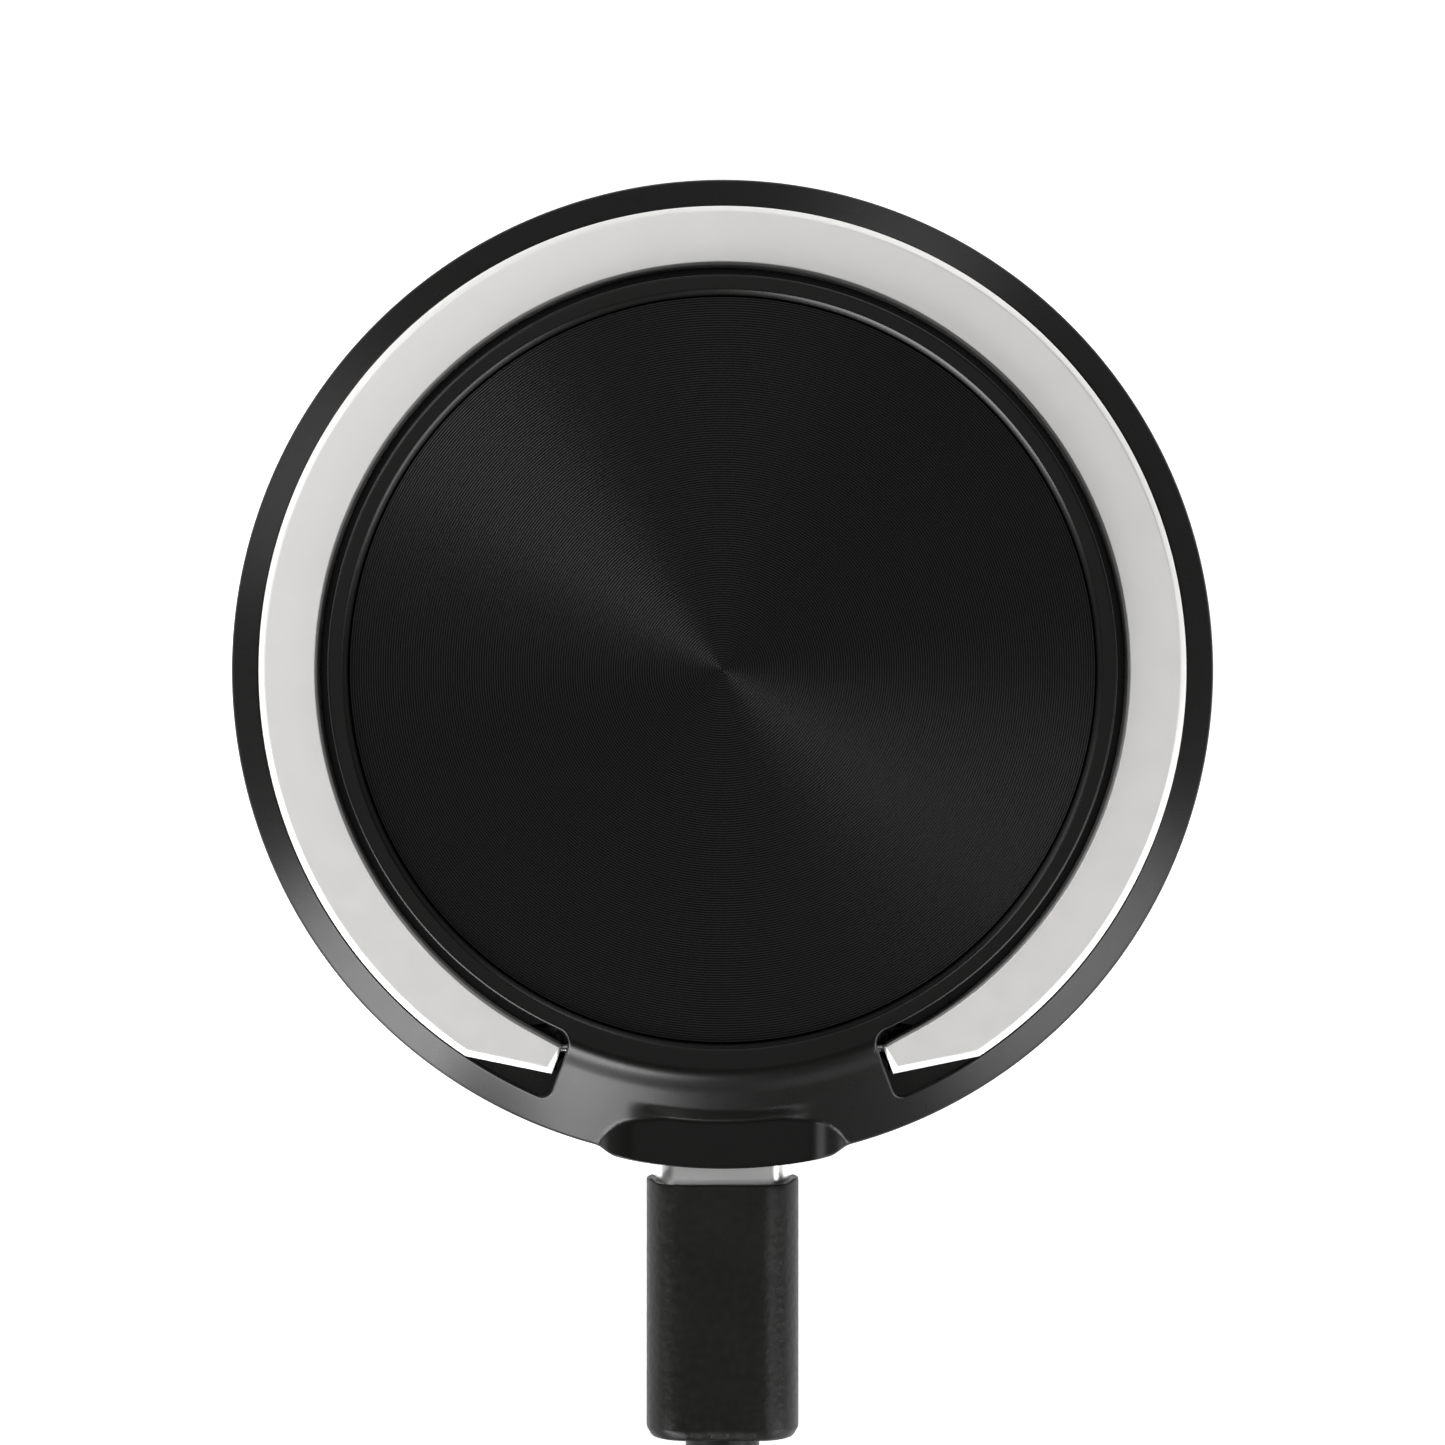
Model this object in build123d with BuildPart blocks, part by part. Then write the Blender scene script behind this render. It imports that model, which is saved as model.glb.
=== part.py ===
"""Round magnetic wireless charger with a fold-out ring stand and a plugged-in USB-C lead.

Millimetres. Z = 0 is the face that touches the phone, which here lies on the table, and +Z points to
the back of the charger. The puck's axis is Z. The socket, the plug and the lead leave along -Y.
"""
from build123d import *
from math import cos, pi, radians, sin, sqrt
import os

os.makedirs("parts", exist_ok=True)

# ---- driving dimensions of the puck ----
PUCK_R = 30.25
RIM_INNER_R = 28.4
BOSS_R = 23.95
DISC_R = 22.65
SHELL_BOTTOM = 0.6
CONE_FOOT_Z = 5.3
RIM_SLOPE = 0.7
SLOT_FLOOR_Z = 6.3
BOSS_Z = 9.4
RECESS_FLOOR_Z = 8.05
DISC_T = 0.85
ADHESIVE_T = 0.1
COVER_SEAT_R = 29.0
CAVITY_R = 28.0
CAVITY_Z = 5.6
BOSS_CAVITY_R = 21.3
BOSS_CAVITY_Z = 7.2
LEDGE_Z = 1.7

# ---- the land between the ring's ends, where the boss rolls over into the sloping rim ----
ROLL_START_R = 24.2
ROLL_END_R = 25.9

# ---- ring stand ----
RING_OUTER_R = 28.25
RING_INNER_R = 24.65
RING_Z0 = 6.45
RING_T = 2.1
RING_BEVEL = 0.37
INNER_KINK = (13.5, -20.85)
INNER_END = (9.75, -22.9)
OUTER_END = (10.4, -24.6)
OUTER_KINK_X = 15.65
END_GAP = 0.36

# ---- hinge ----
HINGE_Y = -23.05
HINGE_Z = 7.4
PIN_R = 0.3
PIN_X0 = 3.6
PIN_X1 = 12.0
HINGE_CLEARANCE = 0.03
BUSHING_R = 0.5
BUSHING_X = (5.4, 8.5)
CLIP_X = (3.8, 5.2)
SWEEP_X = (10.15, 15.4)
SWEEP_R = (1.83, 1.24)

# ---- USB-C ----
PORT_Z = 4.2
SOCKET_MOUTH_Y = -30.15
SOCKET_L = 7.3
SOCKET_W = 8.94
SOCKET_H = 3.2
SOCKET_WALL = 0.28
PLUG_W = 8.25
PLUG_H = 2.4
PLUG_WALL = 0.28
PLUG_NOSE_L = 7.0
TONGUE_W = 6.6
TONGUE_H = 0.66
OVERMOLD_W = 9.4
OVERMOLD_H = 5.6
OVERMOLD_L = 16.0
PLUG_FACE_Y = -31.3
RELIEF_L = 9.0
RELIEF_R0 = 2.3
RELIEF_R1 = 2.05

# ---- socket fairing on the shell's lower edge ----
SPOUT_Z = 6.85
SPOUT_REAR_Y = -26.3
SPOUT_END_R = 30.55
SPOUT_TOP_X = 5.2
SPOUT_FOOT_X = 7.65

# ---- lead ----
CABLE_D = 3.8
COIL_CENTRE = (-16.0, -85.0)
COIL_MEAN_R = 20.0
COIL_ROWS = 3
TIE_T = 0.7
TIE_W = 8.0
TIE_ANGLE = 320


def at_y(y):
    """A plane square to Y at the given place, its own normal pointing along -Y, its x along X."""
    return Plane(origin=(0, y, PORT_Z), x_dir=(1, 0, 0), z_dir=(0, -1, 0))


def save(name, solid):
    solid.label = name
    export_step(solid, f"parts/{name}.step")


def outer_kink_y():
    return -sqrt(RING_OUTER_R**2 - OUTER_KINK_X**2)


def tube_radii(points):
    """The largest fair arc at each inner corner of a run of straight pieces."""
    radii = []
    for before, here, after in zip(points, points[1:], points[2:]):
        into = Vector(*here) - Vector(*before)
        out = Vector(*after) - Vector(*here)
        half_turn = radians(into.get_angle(out) / 2)
        shorter = min(into.length, out.length)
        radii.append(0.45 * shorter * cos(half_turn) / sin(half_turn))
    return radii


# ==================================================================================== rear shell
with BuildPart() as rear_shell:
    with BuildSketch(Plane.XZ) as shell_profile:
        with BuildLine():
            Polyline((0, SHELL_BOTTOM), (PUCK_R - 0.35, SHELL_BOTTOM), (PUCK_R, SHELL_BOTTOM + 0.35))
            roll_end = (ROLL_END_R, CONE_FOOT_Z + RIM_SLOPE * (PUCK_R - ROLL_END_R))
            roll_start = (ROLL_START_R, BOSS_Z)
            Polyline((PUCK_R, SHELL_BOTTOM + 0.35), (PUCK_R, CONE_FOOT_Z), roll_end)
            Spline(roll_end, roll_start, tangents=((-1, RIM_SLOPE), (-1, 0)))
            Polyline(roll_start, (0, BOSS_Z), (0, SHELL_BOTTOM))
        make_face()
    revolve(axis=Axis.Z)

    # fairing over the socket: its foot stands on the rim, its sides lean in to a narrower top
    with BuildSketch(Plane.XZ.offset(-SPOUT_REAR_Y)) as spout_section:
        with BuildLine():
            Polyline(
                (-SPOUT_FOOT_X, 1.4), (SPOUT_FOOT_X, 1.4), (SPOUT_FOOT_X, CONE_FOOT_Z),
                (SPOUT_TOP_X, SPOUT_Z), (-SPOUT_TOP_X, SPOUT_Z), (-SPOUT_FOOT_X, CONE_FOOT_Z),
                close=True,
            )
        make_face()
        fillet(spout_section.vertices().group_by(Axis.Y)[-1], 1.4)
    extrude(amount=SPOUT_END_R + SPOUT_REAR_Y + 1)
    with BuildSketch(Plane.XY) as spout_trim:
        with BuildLine():
            foot_y = -sqrt(PUCK_R**2 - SPOUT_FOOT_X**2)
            end_x = SPOUT_TOP_X - 0.4
            end_y = -sqrt(SPOUT_END_R**2 - end_x**2)
            ThreePointArc((-end_x, end_y), (0, -SPOUT_END_R), (end_x, end_y))
            ThreePointArc((end_x, end_y), (6.35, -29.9), (SPOUT_FOOT_X + 0.02, foot_y))
            Polyline((SPOUT_FOOT_X + 0.02, foot_y), (9.5, -33), (-9.5, -33), (-SPOUT_FOOT_X - 0.02, foot_y))
            ThreePointArc((-SPOUT_FOOT_X - 0.02, foot_y), (-6.35, -29.9), (-end_x, end_y))
        make_face()
    extrude(amount=12, mode=Mode.SUBTRACT)

    # groove for the ring: open from the right land wall round to the left one
    wall_dx = (OUTER_END[0] - INNER_END[0]) / (INNER_END[1] - OUTER_END[1])
    wall_in = (INNER_END[0] - END_GAP - 0.75 * wall_dx, INNER_END[1] + 0.75)
    wall_out = (INNER_END[0] - END_GAP + 4.0 * wall_dx, INNER_END[1] - 4.0)
    with BuildSketch(Plane.XY.offset(SLOT_FLOOR_Z)) as slot:
        Circle(RIM_INNER_R)
        Circle(BOSS_R, mode=Mode.SUBTRACT)
        with BuildLine():
            Polyline(
                wall_in, wall_out, (wall_out[0], -33), (-wall_out[0], -33),
                (-wall_out[0], wall_out[1]), (-wall_in[0], wall_in[1]), (0, -15), close=True,
            )
        make_face(mode=Mode.SUBTRACT)
        fillet(slot.vertices().group_by(Axis.Y)[0], 0.5)
    extrude(amount=6, mode=Mode.SUBTRACT)

    # inside: seat for the front cover, the wide cavity and the deeper one under the boss
    with BuildSketch(Plane.XY):
        Circle(COVER_SEAT_R)
    extrude(amount=LEDGE_Z, mode=Mode.SUBTRACT)
    with BuildSketch(Plane.XY):
        Circle(CAVITY_R)
    extrude(amount=CAVITY_Z, mode=Mode.SUBTRACT)
    with BuildSketch(Plane.XY):
        Circle(BOSS_CAVITY_R)
    extrude(amount=BOSS_CAVITY_Z, mode=Mode.SUBTRACT)

    # thicker floor under the ring's two ends, in which they turn
    with BuildSketch(Plane.XY.offset(CAVITY_Z - 1.2)):
        with Locations((-13.0, -23.6), (13.0, -23.6)):
            Rectangle(7.6, 5.0)
        Circle(CAVITY_R + 0.3, mode=Mode.INTERSECT)
    extrude(amount=1.3)
    for side in (-1, 1):
        for x, radius in zip(SWEEP_X, SWEEP_R):
            with BuildSketch(Plane.YZ.offset(side * x)):
                with Locations((HINGE_Y, HINGE_Z)):
                    Circle(radius)
        loft(mode=Mode.SUBTRACT)

    # recess for the turned disc, with a bevel round its mouth
    with BuildSketch(Plane.XY.offset(RECESS_FLOOR_Z)):
        Circle(DISC_R + 0.05)
    extrude(amount=2, mode=Mode.SUBTRACT)
    mouth = rear_shell.edges().filter_by(GeomType.CIRCLE).filter_by_position(Axis.Z, BOSS_Z, BOSS_Z)
    chamfer(mouth.sort_by(SortBy.RADIUS)[0], 0.3)

    # bores for the hinge bushings, in from the land's two end walls
    for side in (-1, 1):
        with BuildSketch(Plane.YZ.offset(side * (PIN_X0 - 0.2))):
            with Locations((HINGE_Y, HINGE_Z)):
                Circle(BUSHING_R)
        extrude(amount=side * 7.2, mode=Mode.SUBTRACT)

    # opening for the socket and the plug
    with BuildSketch(at_y(SOCKET_MOUTH_Y + SOCKET_L + 0.1)):
        SlotOverall(SOCKET_W + 0.06, SOCKET_H + 0.06)
    extrude(amount=9, mode=Mode.SUBTRACT)

    # three posts that the board is screwed to
    with BuildSketch(Plane.XY.offset(4.6)):
        with PolarLocations(17.0, 3, start_angle=90):
            Circle(1.6)
    extrude(amount=BOSS_CAVITY_Z - 4.6 + 0.1)
    with BuildSketch(Plane.XY.offset(4.6)):
        with PolarLocations(17.0, 3, start_angle=90):
            Circle(0.6)
    extrude(amount=2.0, mode=Mode.SUBTRACT)
save("rear_shell", rear_shell.part)

# ==================================================================================== turned disc
with BuildPart() as disc_adhesive:
    with BuildSketch(Plane.XY.offset(RECESS_FLOOR_Z)):
        Circle(DISC_R - 0.4)
    extrude(amount=ADHESIVE_T)
save("disc_adhesive", disc_adhesive.part)

with BuildPart() as grooved_disc:
    with BuildSketch(Plane.XY.offset(RECESS_FLOOR_Z + ADHESIVE_T)):
        Circle(DISC_R)
    extrude(amount=DISC_T)
save("grooved_disc", grooved_disc.part)

# ==================================================================================== front
with BuildPart() as front_cover:
    with BuildSketch(Plane.XY.offset(0.5)):
        Circle(COVER_SEAT_R - 0.1)
    extrude(amount=1.0)
save("front_cover", front_cover.part)

with BuildPart() as contact_pad:
    with BuildSketch(Plane.XY):
        Circle(27.0)
    extrude(amount=0.5)
    fillet(contact_pad.edges().group_by(Axis.Z)[0], 0.25)
save("contact_pad", contact_pad.part)

with BuildPart() as cover_adhesive:
    with BuildSketch(Plane.XY.offset(1.5)):
        Circle(COVER_SEAT_R - 0.15)
        Circle(CAVITY_R + 0.05, mode=Mode.SUBTRACT)
    extrude(amount=LEDGE_Z - 1.5)
save("cover_adhesive", cover_adhesive.part)

# ==================================================================================== inner stack
SOCKET_GAP_HALF = 20.0
MAGNET_R = (23.2, 26.8)


def ring_sector(r_in, r_out, start, end, tilt=0.0):
    """A flat ring sector between two azimuths, in degrees from +X."""
    with BuildSketch(mode=Mode.PRIVATE) as sector:
        with BuildLine():
            CenterArc((0, 0), r_out, start, end - start)
            CenterArc((0, 0), r_in, start, end - start)
            for angle in (start, end):
                inner = (r_in * cos(radians(angle)), r_in * sin(radians(angle)))
                outer = (r_out * cos(radians(angle)), r_out * sin(radians(angle)))
                Line(inner, outer)
        make_face()
    return sector.sketch


OPEN_RING = (-90 + SOCKET_GAP_HALF, 270 - SOCKET_GAP_HALF)

with BuildPart() as carrier_frame:
    with BuildSketch(Plane.XY.offset(1.5)):
        add(ring_sector(21.95, 23.1, *OPEN_RING))
        add(ring_sector(26.95, 27.85, *OPEN_RING))
    extrude(amount=2.2)
    with BuildSketch(Plane.XY.offset(3.65)):
        add(ring_sector(21.95, 27.85, *OPEN_RING))
    extrude(amount=0.45)
save("carrier_frame", carrier_frame.part)

MAGNETS = 16
magnet_pitch = (360 - 2 * SOCKET_GAP_HALF) / MAGNETS
with BuildPart() as magnet_array:
    with BuildSketch(Plane.XY.offset(1.6)):
        for k in range(MAGNETS):
            first = OPEN_RING[0] + k * magnet_pitch
            add(ring_sector(*MAGNET_R, first + 0.6, first + magnet_pitch - 0.6))
    extrude(amount=1.6)
save("magnet_array", magnet_array.part)

with BuildPart() as magnet_yoke:
    with BuildSketch(Plane.XY.offset(3.2)):
        add(ring_sector(*MAGNET_R, OPEN_RING[0] + 0.6, OPEN_RING[1] - 0.6))
    extrude(amount=0.4)
save("magnet_yoke", magnet_yoke.part)

with BuildPart() as charging_coil:
    with BuildSketch(Plane.XY.offset(1.6)):
        Circle(21.0)
        Circle(10.5, mode=Mode.SUBTRACT)
    extrude(amount=1.0)
save("charging_coil", charging_coil.part)

NOTCH = (5.0, 3.2)


def shielding_disc(z, thickness):
    """A disc over the coil, notched at +Y for the coil's two ends."""
    with BuildPart() as disc:
        with BuildSketch(Plane.XY.offset(z)):
            Circle(21.8)
            with Locations((0, 20.8)):
                Rectangle(*NOTCH, mode=Mode.SUBTRACT)
        extrude(amount=thickness)
    return disc.part


save("ferrite_disc", shielding_disc(2.6, 0.6))
save("heat_shield", shielding_disc(3.2, 0.15))

with BuildPart() as coil_leads:
    with BuildSketch(Plane.XY.offset(2.6)):
        with Locations((-1.2, 20.1), (1.2, 20.1)):
            Circle(0.4)
    extrude(amount=1.2)
save("coil_leads", coil_leads.part)

# ==================================================================================== electronics
BOARD_Z = 3.8
BOARD_T = 0.8
BOARD_TOP = BOARD_Z + BOARD_T
CHIP_TOP = BOARD_TOP + 1.0
SOCKET_REAR_Y = SOCKET_MOUTH_Y + SOCKET_L

with BuildPart() as circuit_board:
    with BuildSketch(Plane.XY.offset(BOARD_Z)):
        Circle(20.8)
        with Locations((0, -22.5)):
            Rectangle(14.0, 9.0)
        with Locations((0, SOCKET_REAR_Y - 4.95)):
            Rectangle(SOCKET_W + 0.1, 10.0, mode=Mode.SUBTRACT)
        with PolarLocations(17.0, 3, start_angle=90):
            Circle(0.8, mode=Mode.SUBTRACT)
    extrude(amount=BOARD_T)
save("circuit_board", circuit_board.part)

with BuildPart() as power_chips:
    with BuildSketch(Plane.XY.offset(BOARD_TOP)):
        with Locations((0, 1.5)):
            Rectangle(7.0, 7.0)
        with Locations((9.0, 3.0)):
            Rectangle(4.0, 4.0)
        with Locations((-9.0, 3.0)):
            Rectangle(5.0, 4.0)
        with Locations((0, -14.0)):
            Rectangle(4.0, 3.0)
    extrude(amount=CHIP_TOP - BOARD_TOP)
    chamfer(power_chips.edges().group_by(Axis.Z)[-1], 0.15)
save("power_chips", power_chips.part)

with BuildPart() as inductors:
    with BuildSketch(Plane.XY.offset(BOARD_TOP)):
        with Locations((8.5, -7.0), (-8.5, -7.0)):
            RectangleRounded(5.0, 5.0, 1.0)
    extrude(amount=2.0)
save("inductors", inductors.part)

with BuildPart() as capacitors:
    with BuildSketch(Plane.XY.offset(BOARD_TOP)):
        with GridLocations(2.6, 2.4, 4, 2):
            with Locations((0, 10.0)):
                Rectangle(1.6, 0.9)
        with GridLocations(3.0, 2.0, 3, 1):
            with Locations((0, -8.0)):
                Rectangle(1.6, 0.9)
    extrude(amount=0.85)
save("capacitors", capacitors.part)

with BuildPart() as thermal_pad:
    with BuildSketch(Plane.XY.offset(CHIP_TOP)):
        with Locations((0, 1.5)):
            Rectangle(6.6, 6.6)
    extrude(amount=BOSS_CAVITY_Z - CHIP_TOP)
save("thermal_pad", thermal_pad.part)

with BuildPart() as board_screws:
    with BuildSketch(Plane.XY.offset(BOARD_Z - 0.4)):
        with PolarLocations(17.0, 3, start_angle=90):
            Circle(1.3)
    extrude(amount=0.4)
    with BuildSketch(Plane.XY.offset(BOARD_Z)):
        with PolarLocations(17.0, 3, start_angle=90):
            Circle(0.6)
    extrude(amount=2.6)
    with BuildSketch(Plane.XY.offset(BOARD_Z - 0.4)):
        with PolarLocations(17.0, 3, start_angle=90):
            Rectangle(1.2, 0.24)
            Rectangle(0.24, 1.2)
    extrude(amount=0.25, mode=Mode.SUBTRACT)
save("board_screws", board_screws.part)

# ==================================================================================== USB-C socket
with BuildPart() as usb_socket_shell:
    with BuildSketch(at_y(SOCKET_REAR_Y)):
        SlotOverall(SOCKET_W, SOCKET_H)
    extrude(amount=SOCKET_L)
    with BuildSketch(at_y(SOCKET_REAR_Y - 0.5)):
        SlotOverall(SOCKET_W - 2 * SOCKET_WALL, SOCKET_H - 2 * SOCKET_WALL)
    extrude(amount=SOCKET_L, mode=Mode.SUBTRACT)
save("usb_socket_shell", usb_socket_shell.part)

with BuildPart() as usb_socket_tongue:
    with BuildSketch(at_y(SOCKET_REAR_Y - 0.5)):
        SlotOverall(SOCKET_W - 2 * SOCKET_WALL, SOCKET_H - 2 * SOCKET_WALL)
    extrude(amount=0.6)
    with BuildSketch(at_y(SOCKET_REAR_Y - 1.1)):
        Rectangle(TONGUE_W, TONGUE_H)
    extrude(amount=4.4)
    with BuildSketch(at_y(SOCKET_REAR_Y - 1.6)):
        with Locations((0, 0.28), (0, -0.28)):
            with GridLocations(0.5, 0, 12, 1):
                Rectangle(0.28, 0.1)
    extrude(amount=3.4, mode=Mode.SUBTRACT)
save("usb_socket_tongue", usb_socket_tongue.part)

with BuildPart() as usb_socket_contacts:
    with BuildSketch(at_y(SOCKET_REAR_Y - 1.6)):
        with Locations((0, 0.28), (0, -0.28)):
            with GridLocations(0.5, 0, 12, 1):
                Rectangle(0.28, 0.1)
    extrude(amount=3.4)
save("usb_socket_contacts", usb_socket_contacts.part)

# ==================================================================================== hinge
with BuildPart() as hinge_bushings:
    for side in (-1, 1):
        with BuildSketch(Plane.YZ.offset(side * BUSHING_X[0])):
            with Locations((HINGE_Y, HINGE_Z)):
                Circle(BUSHING_R)
                Circle(PIN_R + HINGE_CLEARANCE, mode=Mode.SUBTRACT)
        extrude(amount=side * (BUSHING_X[1] - BUSHING_X[0]))
save("hinge_bushings", hinge_bushings.part)

with BuildPart() as hinge_friction_clips:
    for side in (-1, 1):
        with BuildSketch(Plane.YZ.offset(side * CLIP_X[0])):
            with Locations((HINGE_Y, HINGE_Z)):
                Circle(BUSHING_R)
                Circle(PIN_R + HINGE_CLEARANCE, mode=Mode.SUBTRACT)
            with Locations((HINGE_Y, HINGE_Z - 0.5)):
                Rectangle(0.4, 0.8, mode=Mode.SUBTRACT)
        extrude(amount=side * (CLIP_X[1] - CLIP_X[0]))
save("hinge_friction_clips", hinge_friction_clips.part)


def hinge_pin(side):
    """A pin pressed into one end of the ring, running in a bushing and a friction clip."""
    with BuildPart() as pin:
        with BuildSketch(Plane.YZ.offset(side * PIN_X0)):
            with Locations((HINGE_Y, HINGE_Z)):
                Circle(PIN_R)
        extrude(amount=side * (PIN_X1 - PIN_X0))
        chamfer(pin.faces().sort_by(Axis.X)[0 if side > 0 else -1].edges(), 0.12)
    return pin.part


save("hinge_pin_left", hinge_pin(-1))
save("hinge_pin_right", hinge_pin(1))

# ==================================================================================== ring stand
with BuildPart() as kickstand_ring:
    with BuildSketch(Plane.XY.offset(RING_Z0)) as ring_plan:
        Circle(RING_OUTER_R)
        Circle(RING_INNER_R, mode=Mode.SUBTRACT)
        with BuildLine():
            Polyline(
                (OUTER_KINK_X, outer_kink_y()), OUTER_END, INNER_END, INNER_KINK, (0, -10),
                (-INNER_KINK[0], INNER_KINK[1]), (-INNER_END[0], INNER_END[1]),
                (-OUTER_END[0], OUTER_END[1]), (-OUTER_KINK_X, outer_kink_y()),
                (-OUTER_KINK_X, -32), (OUTER_KINK_X, -32), close=True,
            )
        make_face(mode=Mode.SUBTRACT)
    extrude(amount=RING_T)
    chamfer(kickstand_ring.edges().group_by(Axis.Z)[-1], RING_BEVEL)
    chamfer(kickstand_ring.edges().group_by(Axis.Z)[0], 0.2)
    for side in (-1, 1):
        with BuildSketch(Plane.YZ.offset(side * 9.0)):
            with Locations((HINGE_Y, HINGE_Z)):
                Circle(PIN_R)
        extrude(amount=side * (PIN_X1 - 9.0), mode=Mode.SUBTRACT)
save("kickstand_ring", kickstand_ring.part)


# ==================================================================================== USB-C plugs
PLUG_SLOT = (6.9, 0.8)
CONTACT_T = 0.12


def plug_nose():
    """The drawn metal shell of a plug, from the overmould's face towards its mouth, along +Z."""
    with BuildPart() as nose:
        with BuildSketch(Plane.XY):
            SlotOverall(PLUG_W, PLUG_H)
            SlotOverall(PLUG_W - 2 * PLUG_WALL, PLUG_H - 2 * PLUG_WALL, mode=Mode.SUBTRACT)
        extrude(amount=PLUG_NOSE_L)
    return nose.part


def plug_core():
    """The moulded insert inside the metal shell, with the slot that takes a socket's tongue."""
    with BuildPart() as core:
        with BuildSketch(Plane.XY):
            SlotOverall(PLUG_W - 2 * PLUG_WALL, PLUG_H - 2 * PLUG_WALL)
        extrude(amount=PLUG_NOSE_L - 0.3)
        with BuildSketch(Plane.XY.offset(1.5)):
            Rectangle(*PLUG_SLOT)
        extrude(amount=PLUG_NOSE_L, mode=Mode.SUBTRACT)
        with BuildSketch(Plane.XY.offset(2.2)):
            contact_rows()
        extrude(amount=3.6, mode=Mode.SUBTRACT)
    return core.part


def contact_rows():
    reach = PLUG_SLOT[1] / 2 + CONTACT_T / 2
    with Locations((0, reach), (0, -reach)):
        with GridLocations(0.5, 0, 12, 1):
            Rectangle(0.26, CONTACT_T)


def plug_springs():
    """Two rows of twelve contacts, flush with the walls of the slot."""
    with BuildPart() as springs:
        with BuildSketch(Plane.XY.offset(2.2)):
            contact_rows()
        extrude(amount=3.6)
    return springs.part


def plug_body():
    """The overmould, from its face at Z = 0 back to Z = -OVERMOLD_L."""
    with BuildPart() as body:
        with BuildSketch(Plane.XY):
            RectangleRounded(OVERMOLD_W, OVERMOLD_H, 1.9)
        extrude(amount=-OVERMOLD_L)
        chamfer(body.edges().group_by(Axis.Z)[0], 0.9)
        chamfer(body.edges().group_by(Axis.Z)[-1], 0.3)
    return body.part


def plug_sleeve():
    """The tapered strain relief behind the overmould."""
    with BuildPart() as sleeve:
        with BuildSketch(Plane.XY.offset(-OVERMOLD_L)):
            Circle(RELIEF_R0)
        with BuildSketch(Plane.XY.offset(-OVERMOLD_L - RELIEF_L)):
            Circle(RELIEF_R1)
        loft()
        for k in range(3):
            with BuildSketch(Plane.XY.offset(-OVERMOLD_L - 2.6 - 1.9 * k)):
                Circle(RELIEF_R0 + 0.2)
                Circle(RELIEF_R0 - 0.45, mode=Mode.SUBTRACT)
            extrude(amount=0.7, mode=Mode.SUBTRACT)
    return sleeve.part


PLUG_PIECES = {
    "shell": plug_nose(),
    "insulator": plug_core(),
    "contacts": plug_springs(),
    "overmold": plug_body(),
    "strain_relief": plug_sleeve(),
}

# ==================================================================================== lead
CABLE_R = CABLE_D / 2
coil_half = CABLE_D * COIL_ROWS / 2
coil_h = CABLE_D * COIL_ROWS
lead_start_y = PLUG_FACE_Y - OVERMOLD_L - RELIEF_L

# from the strain relief down to the table and alongside the coil, where it joins the outer turn
LEAD_POINTS = [
    (0, lead_start_y, PORT_Z),
    (0, -60.8, PORT_Z),
    (0.9, -66.4, 2.4),
    (4.7, -72.6, 1.9),
    (7.4, -79.2, 1.9),
    (7.9, -85.5, 1.9),
]

# off the inner turn, up over the coil, and straight into the far plug, which lies on the coil
COIL_X, COIL_Y = COIL_CENTRE
END_POINTS = [
    (COIL_X + 2.6, COIL_Y - 16.2, 9.5),
    (COIL_X - 2.6, COIL_Y - 16.2, 9.7),
    (COIL_X - 7.5, COIL_Y - 14.6, 10.9),
    (COIL_X - 11.6, COIL_Y - 11.6, 12.4),
    (COIL_X - 14.6, COIL_Y - 7.5, 13.7),
    (COIL_X - 16.2, COIL_Y - 2.6, 14.2),
    (COIL_X - 16.2, COIL_Y + 2.5, 14.2),
]
far_plug_z = coil_h + OVERMOLD_H / 2
far_plug_face = (COIL_X - 16.2, COIL_Y + 2.5 + OVERMOLD_L + RELIEF_L, far_plug_z)


def lead_tube(points):
    """A round lead along straight runs that are joined by tangent arcs."""
    with BuildPart() as tube:
        with BuildLine() as path:
            FilletPolyline(*points, radius=tube_radii(points))
        route = path.wires()[0]
        with BuildSketch(Plane(origin=route @ 0, z_dir=route % 0)):
            Circle(CABLE_R)
        sweep(path=route)
    return tube.part, route.length


cable_run, run_length = lead_tube(LEAD_POINTS)
cable_end_run, end_length = lead_tube(END_POINTS)

with BuildPart() as cable_tie:
    with BuildSketch(Plane.XZ.offset(-TIE_W / 2)) as tie_section:
        with Locations((COIL_MEAN_R, coil_h / 2 + TIE_T / 2)):
            RectangleRounded(2 * coil_half + 2 * TIE_T, coil_h + TIE_T, 1.6)
        with Locations((COIL_MEAN_R, coil_h / 2 + TIE_T / 2)):
            RectangleRounded(2 * coil_half, coil_h - TIE_T, 1.0, mode=Mode.SUBTRACT)
    extrude(amount=TIE_W)
tie = Pos(COIL_CENTRE[0], COIL_CENTRE[1], 0) * Rot(0, 0, TIE_ANGLE) * cable_tie.part

with BuildPart() as cable_coil:
    with BuildSketch(Plane.XZ) as coil_section:
        with Locations((COIL_MEAN_R, coil_h / 2)):
            RectangleRounded(2 * coil_half, coil_h, 1.8)
    revolve(axis=Axis.Z)
coil = Pos(COIL_CENTRE[0], COIL_CENTRE[1], 0) * cable_coil.part
coil -= tie

save("cable_run", cable_run)
save("cable_end_run", cable_end_run)
save("cable_tie", tie)
save("cable_coil", coil)

near_plug = Location(Plane(origin=(0, PLUG_FACE_Y, PORT_Z), x_dir=(1, 0, 0), z_dir=(0, 1, 0)))
far_plug = Location(Plane(origin=far_plug_face, x_dir=(1, 0, 0), z_dir=(0, 1, 0)))
for piece, solid in PLUG_PIECES.items():
    save(f"plug_{piece}", near_plug * solid)
    save(f"far_plug_{piece}", far_plug * solid)

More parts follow.
